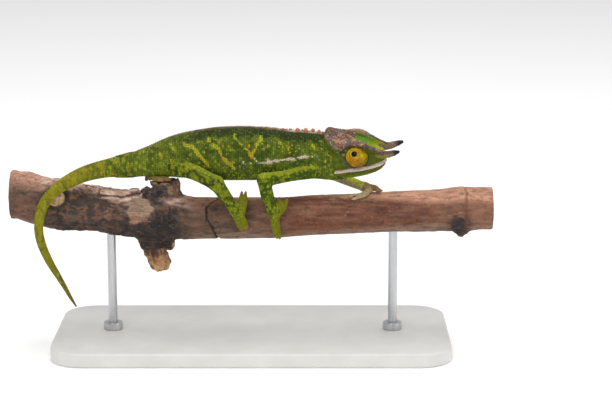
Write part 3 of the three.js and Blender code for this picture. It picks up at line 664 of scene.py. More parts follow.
def shape_animal(head):
    """Trunk, tail, legs and head as one field, kept clear of the branch."""
    field = Field((-77.5, -14.5, 12.5), (54.5, 17.5, 82), SKIN_CELL)
    first_x, last_x = BODY_STATIONS[0][0], BODY_STATIONS[-1][0]
    field.add_sections(body_outline, (first_x, -6, 59), (last_x, 6.5, 79), 0.5, PART["trunk"])
    field.add_tube(TAIL_PATH[1:], 1.2, PART["tail"], TAIL_WIDTH)
    for name, leg in LEGS.items():
        field.add_tube(leg["upper"], 1.3, PART[f"{name}_upper"])
        field.add_tube(leg["lower"], 1.0, PART[f"{name}_lower"])
        field.add_tube(leg["foot"], 1.2, PART[f"{name}_foot"])
        for n, toe in enumerate(leg["toes"]):
            field.add_tube(toe, 0.55, PART[f"{name}_toe_{n}"])
        for first in (0, 2):
            web = np.add(*leg["toes"][first : first + 2]) / 2
            web[-1, :3] += (web[1, :3] - web[-1, :3]) * WEB["short"]
            web[:, 3] *= WEB["radius"]
            field.add_tube(web, 0.5, PART[f"{name}_toe_{first}"])
    corners = to_world(np.array(list(itertools.product((-13, 12), (-7, 7), (-10, 11)))))
    block, (x, y, z) = field.block(corners.min(0) - 1, corners.max(0) + 1)
    places = np.stack(np.broadcast_arrays(x, y, z), axis=-1)
    field.add(block, head.sample(to_head(places)), 1.1, PART["head"])
    block, (x, y, z) = field.block(np.array((-45, -15, 38)), np.array((52, 15, 60)))
    keep_off = np.minimum(branch_distance(x, y, z), FAR)
    for ends in zip(SPUR[:-1], SPUR[1:]):
        a, b = np.array(ends, float)
        spur = cone_distance(x, y, z, a[:3], b[:3], a[3] - 0.4, b[3] - 0.4, 1.0)
        keep_off = np.minimum(keep_off, np.maximum(spur, z - SPUR[-1][2]))
    field.cut(block, keep_off - 0.15, 0.3)
    return field


# ---------------------------------------------------------------- unwrap of the skin

SIDE_AXIS = np.array([0.0, 1.0, 0.0])
BATCH = 20000  # points worked on at once, to save memory


class Tube:
    """A part of the body as a middle line with a radius, laid out flat as length by girth."""

    def __init__(self, centres, radii):
        self.centres, self.radii = centres, radii
        along = np.gradient(centres, axis=0)
        self.along = along / np.linalg.norm(along, axis=1, keepdims=True)
        up = np.cross(self.along, SIDE_AXIS)
        self.up = up / np.linalg.norm(up, axis=1, keepdims=True)
        self.aside = np.cross(self.up, self.along)
        steps = np.linalg.norm(np.diff(centres, axis=0), axis=1)
        self.length_at = np.concatenate([[0], np.cumsum(steps)])

    def coordinates(self, points):
        """Length along the middle line and angle round it for each point."""
        nearest = np.empty(len(points), int)
        for start in range(0, len(points), BATCH):
            batch = slice(start, start + BATCH)
            steps = points[batch, None] - self.centres
            nearest[batch] = (steps**2).sum(-1).argmin(1)
        away = points - self.centres[nearest]
        length = self.length_at[nearest] + (away * self.along[nearest]).sum(1)
        height, across = (away * self.up[nearest]).sum(1), (away * self.aside[nearest]).sum(1)
        return length, np.arctan2(-across, height)


def make_tubes():
    tubes = {}
    x = np.linspace(BODY_STATIONS[0][0], BODY_STATIONS[-1][0], 90)
    rows = station(BODY_STATIONS, x)
    girth = [np.linalg.norm(o - np.roll(o, 1, 0), axis=1).sum() for o in map(body_outline, x)]
    middle = np.column_stack([x, rows[:, 4], (rows[:, 1] + rows[:, 2]) / 2])
    tubes["trunk"] = Tube(middle, np.array(girth) / (2 * np.pi))
    tubes["tail"] = Tube(*smooth_path(TAIL_PATH[1:]))
    ahead = np.linspace(-12.5, 10.5, 24)
    head_middle = np.column_stack([ahead, 0 * ahead, 0 * ahead])
    tubes["head"] = Tube(to_world(head_middle), np.full(24, 7.0))
    for name, leg in LEGS.items():
        for part in ("upper", "lower", "foot"):
            tubes[f"{name}_{part}"] = Tube(*smooth_path(leg[part]))
        for n, toe in enumerate(leg["toes"]):
            tubes[f"{name}_toe_{n}"] = Tube(*smooth_path(toe))
    return tubes


class Unwrap:
    """Strips of all tubes side by side on a square, with room beyond each end."""

    MARGIN = 2.2
    WIDTH = 130.0

    def __init__(self, tubes):
        self.tubes = tubes
        sizes = {
            name: (tube.length_at[-1] + 2 * self.MARGIN, 2 * np.pi * tube.radii.max() + 1)
            for name, tube in tubes.items()
        }
        self.corners = {}
        across, up, shelf = 0.0, 0.0, 0.0
        for name in sorted(sizes, key=lambda key: -sizes[key][1]):
            length, girth = sizes[name]
            if across + length > self.WIDTH:
                across, up, shelf = 0.0, up + shelf, 0.0
            self.corners[name] = (across, up + girth / 2)
            across += length
            shelf = max(shelf, girth)
        self.size = max(self.WIDTH, up + shelf)

    def places(self, points, owners, keep_near=None):
        """Place of each point on the square. keep_near holds angles not to wrap away from."""
        result = np.zeros((len(points), 2))
        for name, chosen in by_part(owners):
            tube = self.tubes[name]
            length, angle = tube.coordinates(points[chosen])
            if keep_near is not None:
                near = keep_near[chosen]
                angle = near + (angle - near + np.pi) % (2 * np.pi) - np.pi
            radius = np.interp(length, tube.length_at, tube.radii)
            corner = self.corners[name]
            result[chosen, 0] = corner[0] + self.MARGIN + length
            result[chosen, 1] = corner[1] + angle * radius
        return result / self.size

    def angles(self, points, owners):
        result = np.zeros(len(points))
        for name, chosen in by_part(owners):
            result[chosen] = self.tubes[name].coordinates(points[chosen])[1]
        return result


# ---------------------------------------------------------------- scales

SCALE_SIDES = 7
PATCH = 0.003  # width of one scale on the unwrap
ROOT_PAINTED_SHADE, TOP_PAINTED_HIGHLIGHT = 0.62, 1.12  # painted shade at a scale's root and painted highlight on its top, as brightness
SURFACE_LEVEL = -COAT_DEPTH


def dome_template():
    """Unit dome: ring at the root, ring near the top, apex. Returns points and triangles."""
    turn = np.arange(SCALE_SIDES) * 2 * np.pi / SCALE_SIDES
    ring = np.column_stack([np.cos(turn), np.sin(turn)])
    root = np.column_stack([ring, np.full(SCALE_SIDES, -0.35)])
    shoulder = np.column_stack([ring * 0.74, np.full(SCALE_SIDES, 0.66)])
    points = np.vstack([root, shoulder, [(0, 0, 1)]])
    n = SCALE_SIDES
    faces = []
    for i in range(n):
        j = (i + 1) % n
        faces += [(i, j, n + j), (i, n + j, n + i), (n + i, n + j, 2 * n)]
    outside = len(faces)
    faces += [(0, i + 1, i) for i in range(1, n - 1)]
    return points, np.array(faces), outside


DOME_POINTS, DOME_FACES, DOME_OUTSIDE = dome_template()


class Scales:
    """A growing set of scales: place, normal, direction, size, height, colour and owner."""

    def __init__(self):
        self.rows = []

    def add(self, centres, normals, along, shape, colours, owners):
        """shape is length, width and height, each one number or one for every scale."""
        n = len(centres)
        along = along - normals * (along * normals).sum(1, keepdims=True)
        along /= np.linalg.norm(along, axis=1, keepdims=True) + 1e-9
        full = [np.broadcast_to(np.asarray(v, float), n)[:, None] for v in shape]
        self.rows.append(
            np.column_stack([centres, normals, along, *full, colours, np.asarray(owners, float)])
        )

    def all(self):
        return np.vstack(self.rows)


def build_scales(name, rows, materials, slot, unwrap):
    """One piece of joined domes, each with its own small patch of the unwrap."""
    centres, normals, along = rows[:, 0:3], rows[:, 3:6], rows[:, 6:9]
    aside = np.cross(normals, along)
    half_length, half_width, height = rows[:, 9:10] / 2, rows[:, 10:11] / 2, rows[:, 11:12]
    x, y, z = DOME_POINTS.T
    points = (
        centres[:, None]
        + (along * half_length)[:, None] * x[:, None]
        + (aside * half_width)[:, None] * y[:, None]
        + (normals * height)[:, None] * z[:, None]
    )
    count, per = len(rows), len(DOME_POINTS)
    faces = DOME_FACES[None] + per * np.arange(count)[:, None, None]
    # Painted light: each scale is darker at its root and paler at its top than its own colour.
    shade = np.where(z < 0, ROOT_PAINTED_SHADE, np.where(z < 0.9, 1.0, TOP_PAINTED_HIGHLIGHT))
    colours = (rows[:, 12:15][:, None] * shade[:, None]).reshape(-1, 3)
    disc = DOME_POINTS[DOME_FACES, :2] * PATCH / 2
    disc[DOME_OUTSIDE:] = disc[DOME_OUTSIDE:] * 0.15 + PATCH * 0.45
    uv = unwrap.places(centres, rows[:, 15].astype(int))[:, None, None] + disc
    points, faces = points.reshape(-1, 3), faces.reshape(-1, 3)
    piece = mesh_object(name, points, faces, [materials[slot]], colours, uv)
    belongs(piece, slot)
    print(name, len(rows), "scales", len(faces), "triangles")


def is_crowded(place, reach, key, taken):
    """Whether a kept place in the cells round this one stands too close to it."""
    for near in itertools.product(*((k - 1, k, k + 1) for k in key)):
        for x, y, z, other_reach in taken.get(near, ()):
            dx, dy, dz = place[0] - x, place[1] - y, place[2] - z
            limit = reach + other_reach
            if dx * dx + dy * dy + dz * dz < limit * limit:
                return True
    return False


def spread(points, spacing, taken, closeness=0.82):
    """Numbers of the points kept so that none stands too close to one kept before."""
    keys = map(tuple, np.floor(points / SPREAD_CELL).astype(int).tolist())
    places, reaches = points.tolist(), (spacing * closeness / 2).tolist()
    kept = []
    for n, (key, place, reach) in enumerate(zip(keys, places, reaches)):
        if not is_crowded(place, reach, key, taken):
            taken.setdefault(key, []).append((*place, reach))
            kept.append(n)
    return np.array(kept, int)


def outline_points(outline, pitch, offset):
    """Points at an even pitch round a closed outline."""
    closed = np.vstack([outline, outline[:1]])
    length = np.concatenate([[0], np.cumsum(np.linalg.norm(np.diff(closed, axis=0), axis=1))])
    count = max(5, round(length[-1] / pitch))
    at = (np.arange(count) + offset) * length[-1] / count
    return np.column_stack([np.interp(at, length, closed[:, n]) for n in range(2)])


def tube_pitch(radius):
    """Size of the scales on a limb or tail of this radius."""
    return np.clip(0.3 + 0.09 * radius, 0.32, 0.6)


def rows_of_scales(tubes):
    """Ring after ring of places round the trunk, tail and limbs, before they are set on the skin."""
    places, parts = [], []
    for n, x in enumerate(np.arange(*TRUNK_ROWS, TRUNK_PITCH * 1.05)):
        ring = outline_points(body_outline(x, 160), TRUNK_PITCH, 0.5 * (n % 2))
        places.append(np.column_stack([np.full(len(ring), x), ring]))
        parts.append(np.full(len(ring), PART["trunk"]))
    limbs = ["tail"] + [f"{leg}_{part}" for leg in LEGS for part in ("upper", "lower")]
    for name in limbs:
        tube = tubes[name]
        at, n = 0.0, 0
        while at < tube.length_at[-1]:
            i = min(np.searchsorted(tube.length_at, at), len(tube.radii) - 1)
            centre = [np.interp(at, tube.length_at, tube.centres[:, k]) for k in range(3)]
            radius = np.interp(at, tube.length_at, tube.radii)
            pitch = tube_pitch(radius)
            count = max(5, round(2 * np.pi * radius / pitch))
            turn = (np.arange(count) + 0.5 * (n % 2)) * 2 * np.pi / count
            spokes = np.cos(turn)[:, None] * tube.up[i] + np.sin(turn)[:, None] * tube.aside[i]
            places.append(np.array(centre) + radius * spokes)
            parts.append(np.full(count, PART[name]))
            at += pitch
            n += 1
    return np.vstack(places), np.concatenate(parts)


def along_parts(tubes, points, owners):
    """Direction of each part's middle line at the points."""
    result = np.zeros_like(points)
    for name, chosen in by_part(owners):
        tube = tubes[name]
        length, _ = tube.coordinates(points[chosen])
        along = [np.interp(length, tube.length_at, tube.along[:, k]) for k in range(3)]
        result[chosen] = np.stack(along, axis=-1)
    return result


def random_places(points, quads, owners, density, generator):
    """Random places on the skin's faces, more of them where density says so."""
    a, b, c, d = (points[quads[:, n]] for n in range(4))
    area = np.linalg.norm(np.cross(c - a, d - b), axis=1) / 2
    count = generator.poisson(area * density[owners[quads[:, 0]]])
    chosen = np.repeat(np.arange(len(quads)), count)
    u, v = generator.random((2, len(chosen), 1))
    a, b, c, d = (corner[chosen] for corner in (a, b, c, d))
    places = (a * (1 - u) + b * u) * (1 - v) + (d * (1 - u) + c * u) * v
    return places[generator.permutation(len(places))]


# ---------------------------------------------------------------- colours

# Display values from 0 to 255.
COLOURS = {
    "flank": (88, 106, 26),
    "flank_dark": (52, 66, 20),
    "flank_bright": (112, 126, 36),
    "back": (44, 54, 20),
    "ridge": (128, 104, 78),
    "dot": (160, 170, 40),
    "bar": (178, 178, 40),
    "bar_low": (200, 160, 36),
    "stripe": (226, 204, 186),
    "tail": (160, 150, 26),
    "tail_dark": (104, 100, 34),
    "tail_low": (126, 116, 36),
    "thigh": (71, 84, 10),
    "arm": (68, 94, 10),
    "shin": (94, 106, 12),
    "foot": (122, 126, 12),
    "toe": (134, 134, 14),
    "toe_tip": (176, 116, 50),
    "brown_foot": (164, 128, 90),
    "leg_top_painted_highlight": (206, 212, 50),
    "far_leg_painted_light": (244, 244, 88),
    "pale_toe": (216, 190, 146),
    "pale_leg_and_painted_light": (224, 210, 158),
    "mottle_dark": (50, 66, 12),
    "mottle_pale": (150, 158, 26),
    "casque": (168, 132, 108),
    "casque_pink": (192, 146, 122),
    "casque_grey": (134, 124, 120),
    "casque_pale": (226, 202, 176),
    "casque_dark": (78, 60, 52),
    "brow_painted_shade": (84, 68, 68),
    "crown": (112, 160, 30),
    "crown_front": (178, 190, 42),
    "cheek": (82, 98, 20),
    "cheek_yellow": (126, 132, 24),
    "throat_and_painted_light": (134, 164, 28),
    "snout": (94, 104, 14),
    "lip": (216, 194, 178),
    "eye_fold": (92, 98, 96),
    "speckle_and_shadow": (46, 40, 34),
    "claw": (150, 118, 72),
    "claw_tip": (84, 58, 40),
    "pale_claw": (206, 184, 142),
    "pale_claw_tip": (150, 122, 92),
    "crest_cone": (204, 136, 110),
    "crest_rear": (132, 106, 78),
    "crest_nape": (214, 176, 150),
    "lid_skin": (150, 112, 30),
    "lid_rim": (206, 162, 70),
    "lid": (216, 172, 20),
    "lid_top": (236, 212, 34),
    "lid_front": (158, 160, 22),
    "lid_low": (150, 96, 12),
    "lid_brown": (150, 96, 18),
    "lid_bright": (230, 202, 30),
    "lid_orange": (186, 108, 14),
    "lid_dark": (96, 62, 18),
    "lid_grey": (98, 96, 78),
    "pupil": (4, 4, 5),
    "iris": (222, 178, 84),
    "horn": (148, 116, 104),
    "horn_grey": (104, 92, 92),
    "horn_pale": (196, 160, 140),
    "horn_dark": (70, 56, 60),
    "horn_green": (140, 150, 40),
    "horn_tip": (44, 36, 42),
    "bark": (136, 92, 70),
    "bark_top": (192, 140, 112),
    "bark_low": (136, 108, 90),
    "bark_red": (108, 60, 38),
    "bark_middle": (94, 69, 53),
    "bark_rough": (96, 74, 62),
    "bark_rough_top": (228, 188, 168),
    "bark_rust": (132, 88, 62),
    "bark_dark": (42, 34, 31),
    "crack": (30, 24, 22),
    "bare_wood": (150, 124, 102),
    "knot": (196, 164, 122),
    "stub": (162, 116, 78),
    "stub_top": (92, 62, 46),
    "stub_pale": (200, 156, 110),
    "spur_top_and_highlight": (146, 112, 86),
}


def linear(rgb):
    value = np.asarray(rgb, float) / 255
    return np.where(value <= 0.04045, value / 12.92, ((value + 0.055) / 1.055) ** 2.4)


PALETTE = {name: linear(rgb) for name, rgb in COLOURS.items()}


class Paint:
    """Colours of many places at once, over which further colours are laid."""

    def __init__(self, name, count):
        self.colours = np.tile(PALETTE[name], (count, 1))

    def lay(self, colour, share):
        """Covers a share, from 0 to 1 at each place, with a named colour or another paint."""
        over = PALETTE[colour] if isinstance(colour, str) else colour.colours
        share = np.clip(share, 0, 1)[:, None]
        self.colours = self.colours * (1 - share) + over * share
        return self


def line_distance(points, line):
    """Distance in a plane to a broken line, and how far along the line from 0 to 1."""
    line = np.asarray(line, float)
    best, along = np.full(len(points), 1e9), np.zeros(len(points))
    spans = len(line) - 1
    for n in range(spans):
        start, edge = line[n], line[n + 1] - line[n]
        t = np.clip(((points - start) @ edge) / (edge @ edge), 0, 1)
        away = np.linalg.norm(points - start - t[:, None] * edge, axis=1)
        closer = away < best
        best, along = np.where(closer, away, best), np.where(closer, (n + t) / spans, along)
    return best, along


# ---------------------------------------------------------------- markings

# Yellow bars of the flank as x, z; each with its width.
BARS = [
    ([(-14.7, 74.4), (-13.3, 73.2), (-11.3, 71.5), (-10.5, 69.4), (-9.2, 67.6), (-6.0, 64.7)], 1.5),
    ([(-23.6, 73.1), (-20.6, 72.1), (-18.3, 69.8), (-17.1, 67.6), (-14.9, 65.5)], 1.4),
    ([(-5.9, 75.7), (-4.4, 73.7), (-2.2, 71.8), (-0.9, 70.7), (0.2, 69.4)], 1.3),
    ([(3.2, 75.0), (2.2, 73.4), (1.3, 71.2), (0.2, 69.2)], 1.2),
    ([(-28.7, 73.1), (-27.1, 71.2), (-26.0, 69.6)], 0.6),
    ([(20.7, 73.0), (22.6, 70.8)], 0.5),
    ([(-32.5, 70.5), (-31.5, 68.4)], 0.8),
    ([(26.0, 69.6), (28.0, 68.6)], 0.6),
]
# Blobs on the flank, by colour: x, z, radius.
BLOBS = {
    "bar_low": [(-0.5, 69.4, 0.7), (0.2, 68.6, 0.7), (13.1, 71.9, 0.6), (13.3, 70.0, 0.5)],
    "bar": [(10.0, 73.4, 0.8), (3.2, 75.5, 0.6)],
    "dot": [(6.1, 72.4, 0.7), (-7.3, 71.1, 0.7)],
    "stripe": [
        (-2.9, 66.7, 0.55),
        (-0.3, 66.5, 0.45),
        (1.0, 68.1, 0.4),
        (1.7, 67.3, 0.35),
        (5.8, 67.9, 0.35),
        (21.2, 68.5, 0.45),
        (23.1, 68.6, 0.35),
    ],
    "cheek_yellow": [(28.0, 66.1, 1.1), (26.1, 69.4, 1.0)],
}
STRIPE = [(2.6, 66.4), (4.4, 66.6), (6.5, 66.9), (10.9, 67.6), (15.3, 68.2), (19.4, 68.5)]
# Lower edge of the casque and of the brow ridge in the head's frame: x, z.
CASQUE_LINE = [
    (-14, 9.2),
    (-11.3, 8.2),
    (-10.4, 7.0),
    (-9.3, 6.0),
    (-7.4, 5.0),
    (-5.4, 4.6),
    (-3.4, 4.9),
    (-1.7, 5.6),
    (0.8, 6.1),
    (3.3, 6.2),
    (5.3, 5.6),
    (7.0, 4.8),
    (9.1, 3.8),
    (12, 3.5),
]
DOTS = {"tried": 16000, "spacing": 1.25, "sizes": (0.28, 0.68), "on_tail": 0.85}
WARM_DOTS_END = 20  # orange dots only behind this x
NECK_MARKS_END = 28  # bars and blobs go no further forward than this x
BACK_BAND_END = 26


class Places:
    """Places on the animal with their directions, parts and a random number from 0 to 1 each."""

    def __init__(self, points, normals, owners, jitter):
        self.points, self.normals, self.owners, self.jitter = points, normals, owners, jitter
        self.x = points[:, 0]
        self.fine = noise(points, 1.6, 2, 2)

    def on(self, part):
        return self.owners == PART[part]

    def body_and_head_behind(self, end_x):
        return self.on("trunk") | (self.on("head") & (self.x < end_x))


class Markings:
    """Colour of the animal's skin and scales at any place on it."""

    def __init__(self, tubes, skin_points, skin_owners, generator):
        self.tubes = tubes
        order = generator.permutation(len(skin_points))[: DOTS["tried"]]
        spots = self.stretched(skin_points[order])
        size = generator.uniform(*DOTS["sizes"], len(spots))
        size *= np.where(skin_owners[order] == PART["tail"], DOTS["on_tail"], 1.0)
        kept = spread(spots, np.full(len(spots), DOTS["spacing"]), {}, closeness=1.0)
        self.spots, self.spot_size = spots[kept], size[kept]
        self.spot_kind = generator.random(len(kept))
        self.tree = KDTree(len(kept))
        for n, spot in enumerate(self.spots):
            self.tree.insert(spot, n)
        self.tree.balance()

    def stretched(self, points):
        """Places whose heights are drawn together towards the tail, where the spots are tall."""
        share = smoothstep(-22, -36, points[:, 0])
        return points * np.column_stack([1 + 0 * share, 1 + 0 * share, 1 - 0.45 * share])

    def spot_share(self, points):
        """How far each point belongs to a yellow dot, and which kind of dot it is."""
        near = [self.tree.find(p) for p in self.stretched(points)]
        number = np.array([n for _, n, _ in near])
        away = np.array([d for _, _, d in near])
        size = self.spot_size[number]
        return smoothstep(size, size * 0.5, away), self.spot_kind[number]

    def __call__(self, points, normals, owners, jitter):
        at = Places(points, normals, owners, jitter)
        coarse = noise(points, 5.0, 1, 2)
        paint = Paint("flank", len(points))
        paint.lay("flank_dark", smoothstep(-0.1, 0.7, at.fine + 0.4 * coarse) * 0.55)
        paint.lay("flank_bright", smoothstep(0.1, 0.8, -at.fine) * 0.5)
        self.trunk(paint, at)
        self.tail(paint, at)
        patches = noise(points, 1.25, 12, 2)
        for name in LEGS:
            self.leg(paint, at, name, patches)
            self.toes(paint, at, name)
        self.dots(paint, at)
        self.flank_marks(paint, at)
        self.head(paint, at)
        body = ~at.on("head")
        paint.lay("flank_bright", body * smoothstep(0.78, 1.0, jitter) * 0.4)
        contrast = np.where(body, 0.62, 0.4)
        return paint.colours * (1 + contrast * (jitter - 0.5))[:, None]

    def back_depth(self, at):
        """How far below the ridge of the back a point lies, and whether it is on the body."""
        depth = station(BODY_STATIONS, at.x)[:, 1] - at.points[:, 2]
        return depth, at.body_and_head_behind(BACK_BAND_END)

    def back_band(self, at):
        depth, on = self.back_depth(at)
        return on * smoothstep(-36, -12, at.x) * smoothstep(3.5, 2.5, depth - 0.5 * at.fine)

    def trunk(self, paint, at):
        paint.lay("back", self.back_band(at) * 0.85)
        depth, on = self.back_depth(at)
        paint.lay("ridge", on * smoothstep(0.75, 0.3, depth) * (0.55 + 0.4 * at.fine))
        nape = on * smoothstep(2, 16, at.x) * smoothstep(0.7, 0.35, depth)
        paint.lay("casque_pale", nape * (0.4 + 0.5 * at.fine))

    def tail(self, paint, at):
        on = at.on("tail")
        length = np.zeros(len(at.points))
        length[on] = self.tubes["tail"].coordinates(at.points[on])[0]
        length += on * 3 + smoothstep(-30, HIP_X, at.x) * 3 * at.on("trunk")
        rump = at.on("trunk") * smoothstep(-20, -34, at.x) + on
        blotches = noise(at.points * (1.6, 1, 0.6), 1.5, 9, 2)
        dark = smoothstep(0.1, 0.5, -blotches) * smoothstep(34, 12, length)
        orange = smoothstep(0.3, 0.7, blotches) * smoothstep(50, 30, length)
        brown = smoothstep(0.1, 0.8, at.fine) * smoothstep(8, 30, length)
        paint.lay("flank_bright", rump * 0.3)
        paint.lay("mottle_pale", rump * smoothstep(0.0, 0.4, blotches) * 0.35)
        paint.lay("mottle_dark", rump * dark * 0.25)
        paint.lay("tail", smoothstep(6, 36, length) * 0.85)
        paint.lay("tail_low", smoothstep(46, 72, length) * 0.8)
        paint.lay("bar_low", on * orange * 0.35)
        paint.lay("tail_dark", on * brown * 0.6)

    def leg(self, paint, at, name, patches):
        """patches are random values that set the light and dark mottles."""
        side = -1 if name.endswith("right") else 1
        front = name.startswith("front")
        upper, lower, foot = (at.on(f"{name}_{part}") for part in ("upper", "lower", "foot"))
        paint.lay("arm" if front else "thigh", upper * 0.8)
        paint.lay("arm" if front else "shin", lower * 0.8)
        paint.lay("foot", foot * 0.8)
        limb = upper | lower
        paint.lay("mottle_dark", limb * smoothstep(0.0, 0.35, -patches) * (0.35 if front else 0.6))
        paint.lay("mottle_pale", (limb | foot) * smoothstep(0.1, 0.42, patches) * 0.6)
        # Pale inner sides of the legs, made paler still as painted light against the head's shadow on
        # the far front leg.
        inner = smoothstep(-0.2, 0.4, -side * at.normals[:, 1])
        paint.lay("pale_leg_and_painted_light", inner * (limb | foot) * 0.9)
        # Painted highlight: the upper faces of the legs are paler.
        upward = at.normals[:, 2] + 0.2 * at.fine
        paint.lay("leg_top_painted_highlight", limb * smoothstep(0.35, 0.8, upward) * 0.4)
        # Painted light on the upper faces of the far front leg, where the head's shadow falls.
        if name == "front_left":
            lit = smoothstep(0.0, 0.7, upward) * smoothstep(11, 8, at.points[:, 1])
            paint.lay("far_leg_painted_light", lit * lower * 0.95)
        if side > 0:
            paint.lay("brown_foot", foot * 0.7)

    def toes(self, paint, at, name):
        for n, toe in enumerate(LEGS[name]["toes"]):
            on = at.on(f"{name}_toe_{n}")
            from_tip = np.linalg.norm(at.points - np.array(toe[-1][:3]), axis=1)
            paint.lay("toe", on * 0.85)
            paint.lay("toe_tip", on * smoothstep(1.6, 0.4, from_tip) * 0.5)
            if name == "hind_left" or (name, n) == ("front_left", 0):
                paint.lay("brown_foot", on * (0.75 + 0.6 * at.fine))
            elif name == "front_left":
                paint.lay("pale_toe", on * 0.8)

    def dots(self, paint, at):
        share, kind = self.spot_share(at.points)
        plain = at.on("head") | (at.owners >= PART["front_right_toe_0"])
        share = share * np.where(plain, 0.15, 0.9) * smoothstep(0.1, 0.8, kind)
        share = share * (1 - 0.85 * self.back_band(at))
        warm = (kind > 0.96) & at.on("trunk") & (at.x < WARM_DOTS_END)
        paint.lay("dot", share * ~warm)
        paint.lay("bar_low", share * warm)

    def flank_marks(self, paint, at):
        on = at.body_and_head_behind(NECK_MARKS_END)
        plane = at.points[:, [0, 2]]
        ragged = noise(at.points, 0.9, 7, 2)
        for line, width in BARS:
            away, along = line_distance(plane, line)
            share = smoothstep(width * 0.52, width * 0.2, away + 0.25 * at.fine + 0.3 * ragged)
            tint = Paint("bar", len(on)).lay("bar_low", bump(along - 0.75, 0.25) * 0.6)
            paint.lay(tint, on * share * 0.9)
        for name, blobs in BLOBS.items():
            for x, z, radius in blobs:
                away = np.linalg.norm(plane - (x, z), axis=1)
                paint.lay(name, on * smoothstep(radius, radius * 0.5, away) * 0.85)
        away, along = line_distance(plane, STRIPE)
        width = 0.5 - 0.15 * along
        edge = smoothstep(width + 0.1, width - 0.25, away + 0.3 * at.fine + 0.15 * ragged)
        paint.lay("stripe", on * edge * 0.95)

    def head(self, paint, at):
        on = at.on("head")
        place = to_head(at.points)
        patchy = noise(at.points, 1.3, 5, 2)
        above_line = place[:, 2] - np.interp(place[:, 0], *np.array(CASQUE_LINE).T)
        self.face(paint, place, on, patchy)
        casque = smoothstep(-0.2, 0.25, above_line + 0.15 * patchy)
        paint.lay(self.casque(place, at.jitter, patchy, above_line), on * casque)
        crown, basin = self.crown(place, patchy)
        paint.lay(crown, on * basin)

    def face(self, paint, place, on, patchy):
        x, z = place[:, 0], place[:, 2]
        paint.lay("cheek", on * smoothstep(-12.5, -8.5, x) * 0.75)
        paint.lay("cheek_yellow", on * smoothstep(0.15, 0.8, patchy) * 0.5)
        # Pale green throat, made paler still as painted light on the underside of the head.
        paint.lay("throat_and_painted_light", on * smoothstep(-4.5, -6.5, z - 0.25 * x) * 0.7)
        paint.lay("snout", on * smoothstep(3.5, 6.5, x) * 0.8)
        fold = smoothstep(1.35, 0.8, from_eye(x, z)) * smoothstep(-0.6, 0.1, from_eye(x, z))
        fold = fold * smoothstep(0.6, -1.6, z - EYE["height"])
        paint.lay("eye_fold", on * fold * (0.45 + 0.4 * patchy))
        speckle = on * np.exp(-((x + 4.6) ** 2 + (z - 3.6) ** 2) / 1.6) * 0.8
        paint.lay("speckle_and_shadow", speckle * (patchy > 0.1))
        paint.lay("casque_pale", speckle * (patchy < -0.25))
        height = z - mouth_height(x)
        lip = smoothstep(-0.1, 0.1, height) * smoothstep(1.65, 1.35, height + 0.2 * patchy)
        paint.lay("lip", on * lip * smoothstep(-7.6, -7.0, x) * 0.95)
        # Painted shade along the slit of the mouth.
        slit = smoothstep(0.28, 0.08, np.abs(height + 0.1)) * smoothstep(-7.8, -7.2, x)
        paint.lay("speckle_and_shadow", on * slit * 0.7)

    def casque(self, place, jitter, patchy, above_line):
        """Colours of the casque and the brow ridge, with painted shade under the ridge and over the eye.
        """
        x, aside, z = place[:, 0], np.abs(place[:, 1]), place[:, 2]
        streaks = noise(place * (0.5, 1, 1), 0.9, 41, 2)
        # Painted shade under the brow ridge, along the casque's lower edge.
        painted_underside_shade = smoothstep(1.3, 0.6, above_line + 0.4 * patchy) * smoothstep(-7.5, -4.5, x)
        # Painted shadow of the brow ridge over the top of the eye.
        painted_shade_over_eye = smoothstep(0.5, 0.1, above_line) * smoothstep(1.6, 0.6, from_eye(x, z))
        paint = Paint("casque", len(x))
        paint.lay("casque_pink", smoothstep(0, 0.7, patchy))
        paint.lay("casque_grey", smoothstep(0.0, 0.7, -patchy) * 0.8)
        paint.lay("casque_pale", (jitter > 0.86) * 0.5)
        paint.lay("casque_dark", (jitter < 0.16) * 0.6)
        paint.lay("casque_dark", smoothstep(0.2, 0.6, streaks) * 0.35)
        paint.lay("casque_dark", smoothstep(8.2, 9.2, z) * smoothstep(-6, -9, x) * 0.6)
        paint.lay("brow_painted_shade", painted_underside_shade * (aside > 2.6) * 0.7)
        return paint.lay("speckle_and_shadow", painted_shade_over_eye * (aside > 3) * 0.7)

    def crown(self, place, patchy):
        """Colours of the green hollow between the brow ridges, and how far each place is in it."""
        x, aside, z = place[:, 0], np.abs(place[:, 1]), place[:, 2]
        ridge = np.interp(x, *np.array(BROW_RIDGE)[:, :2].T)
        basin = smoothstep(-2.0, -0.8, x) * smoothstep(-0.4, -1.0, aside - ridge + 0.3 * (x < 2))
        basin *= 1 - smoothstep(1.4, 0.9, aside) * smoothstep(2.5, 1.0, x)
        paint = Paint("crown", len(x)).lay("crown_front", smoothstep(2.0, 8.0, x))
        paint.lay("casque_grey", smoothstep(0.4, 0.9, patchy) * 0.35)
        return paint, basin * smoothstep(1.5, 2.5, z)


def casque_share(points):
    """1 on the crested top of the head, 0 below it."""
    place = to_head(points)
    line = np.interp(place[:, 0], *np.array(CASQUE_LINE).T)
    return smoothstep(-0.2, 0.3, place[:, 2] - line) * (place[:, 0] > -12)


def scale_size(points, owners, tubes):
    """Spacing of the scales: large on the casque, small on the face and feet."""
    size = np.full(len(points), TRUNK_PITCH)
    for name, chosen in by_part(owners):
        if name == "head":
            x, _, z = to_head(points[chosen]).T
            face = 0.5 - 0.1 * smoothstep(1, 8, x) - 0.06 * (from_eye(x, z) < 1.2)
            size[chosen] = face + (CASQUE_PITCH - face) * casque_share(points[chosen])
        elif name != "trunk":
            length, _ = tubes[name].coordinates(points[chosen])
            pitch = tube_pitch(np.interp(length, tubes[name].length_at, tubes[name].radii))
            size[chosen] = pitch * (0.85 if is_foot(name) else 1.0)
    return size


# ---------------------------------------------------------------- meshes and materials


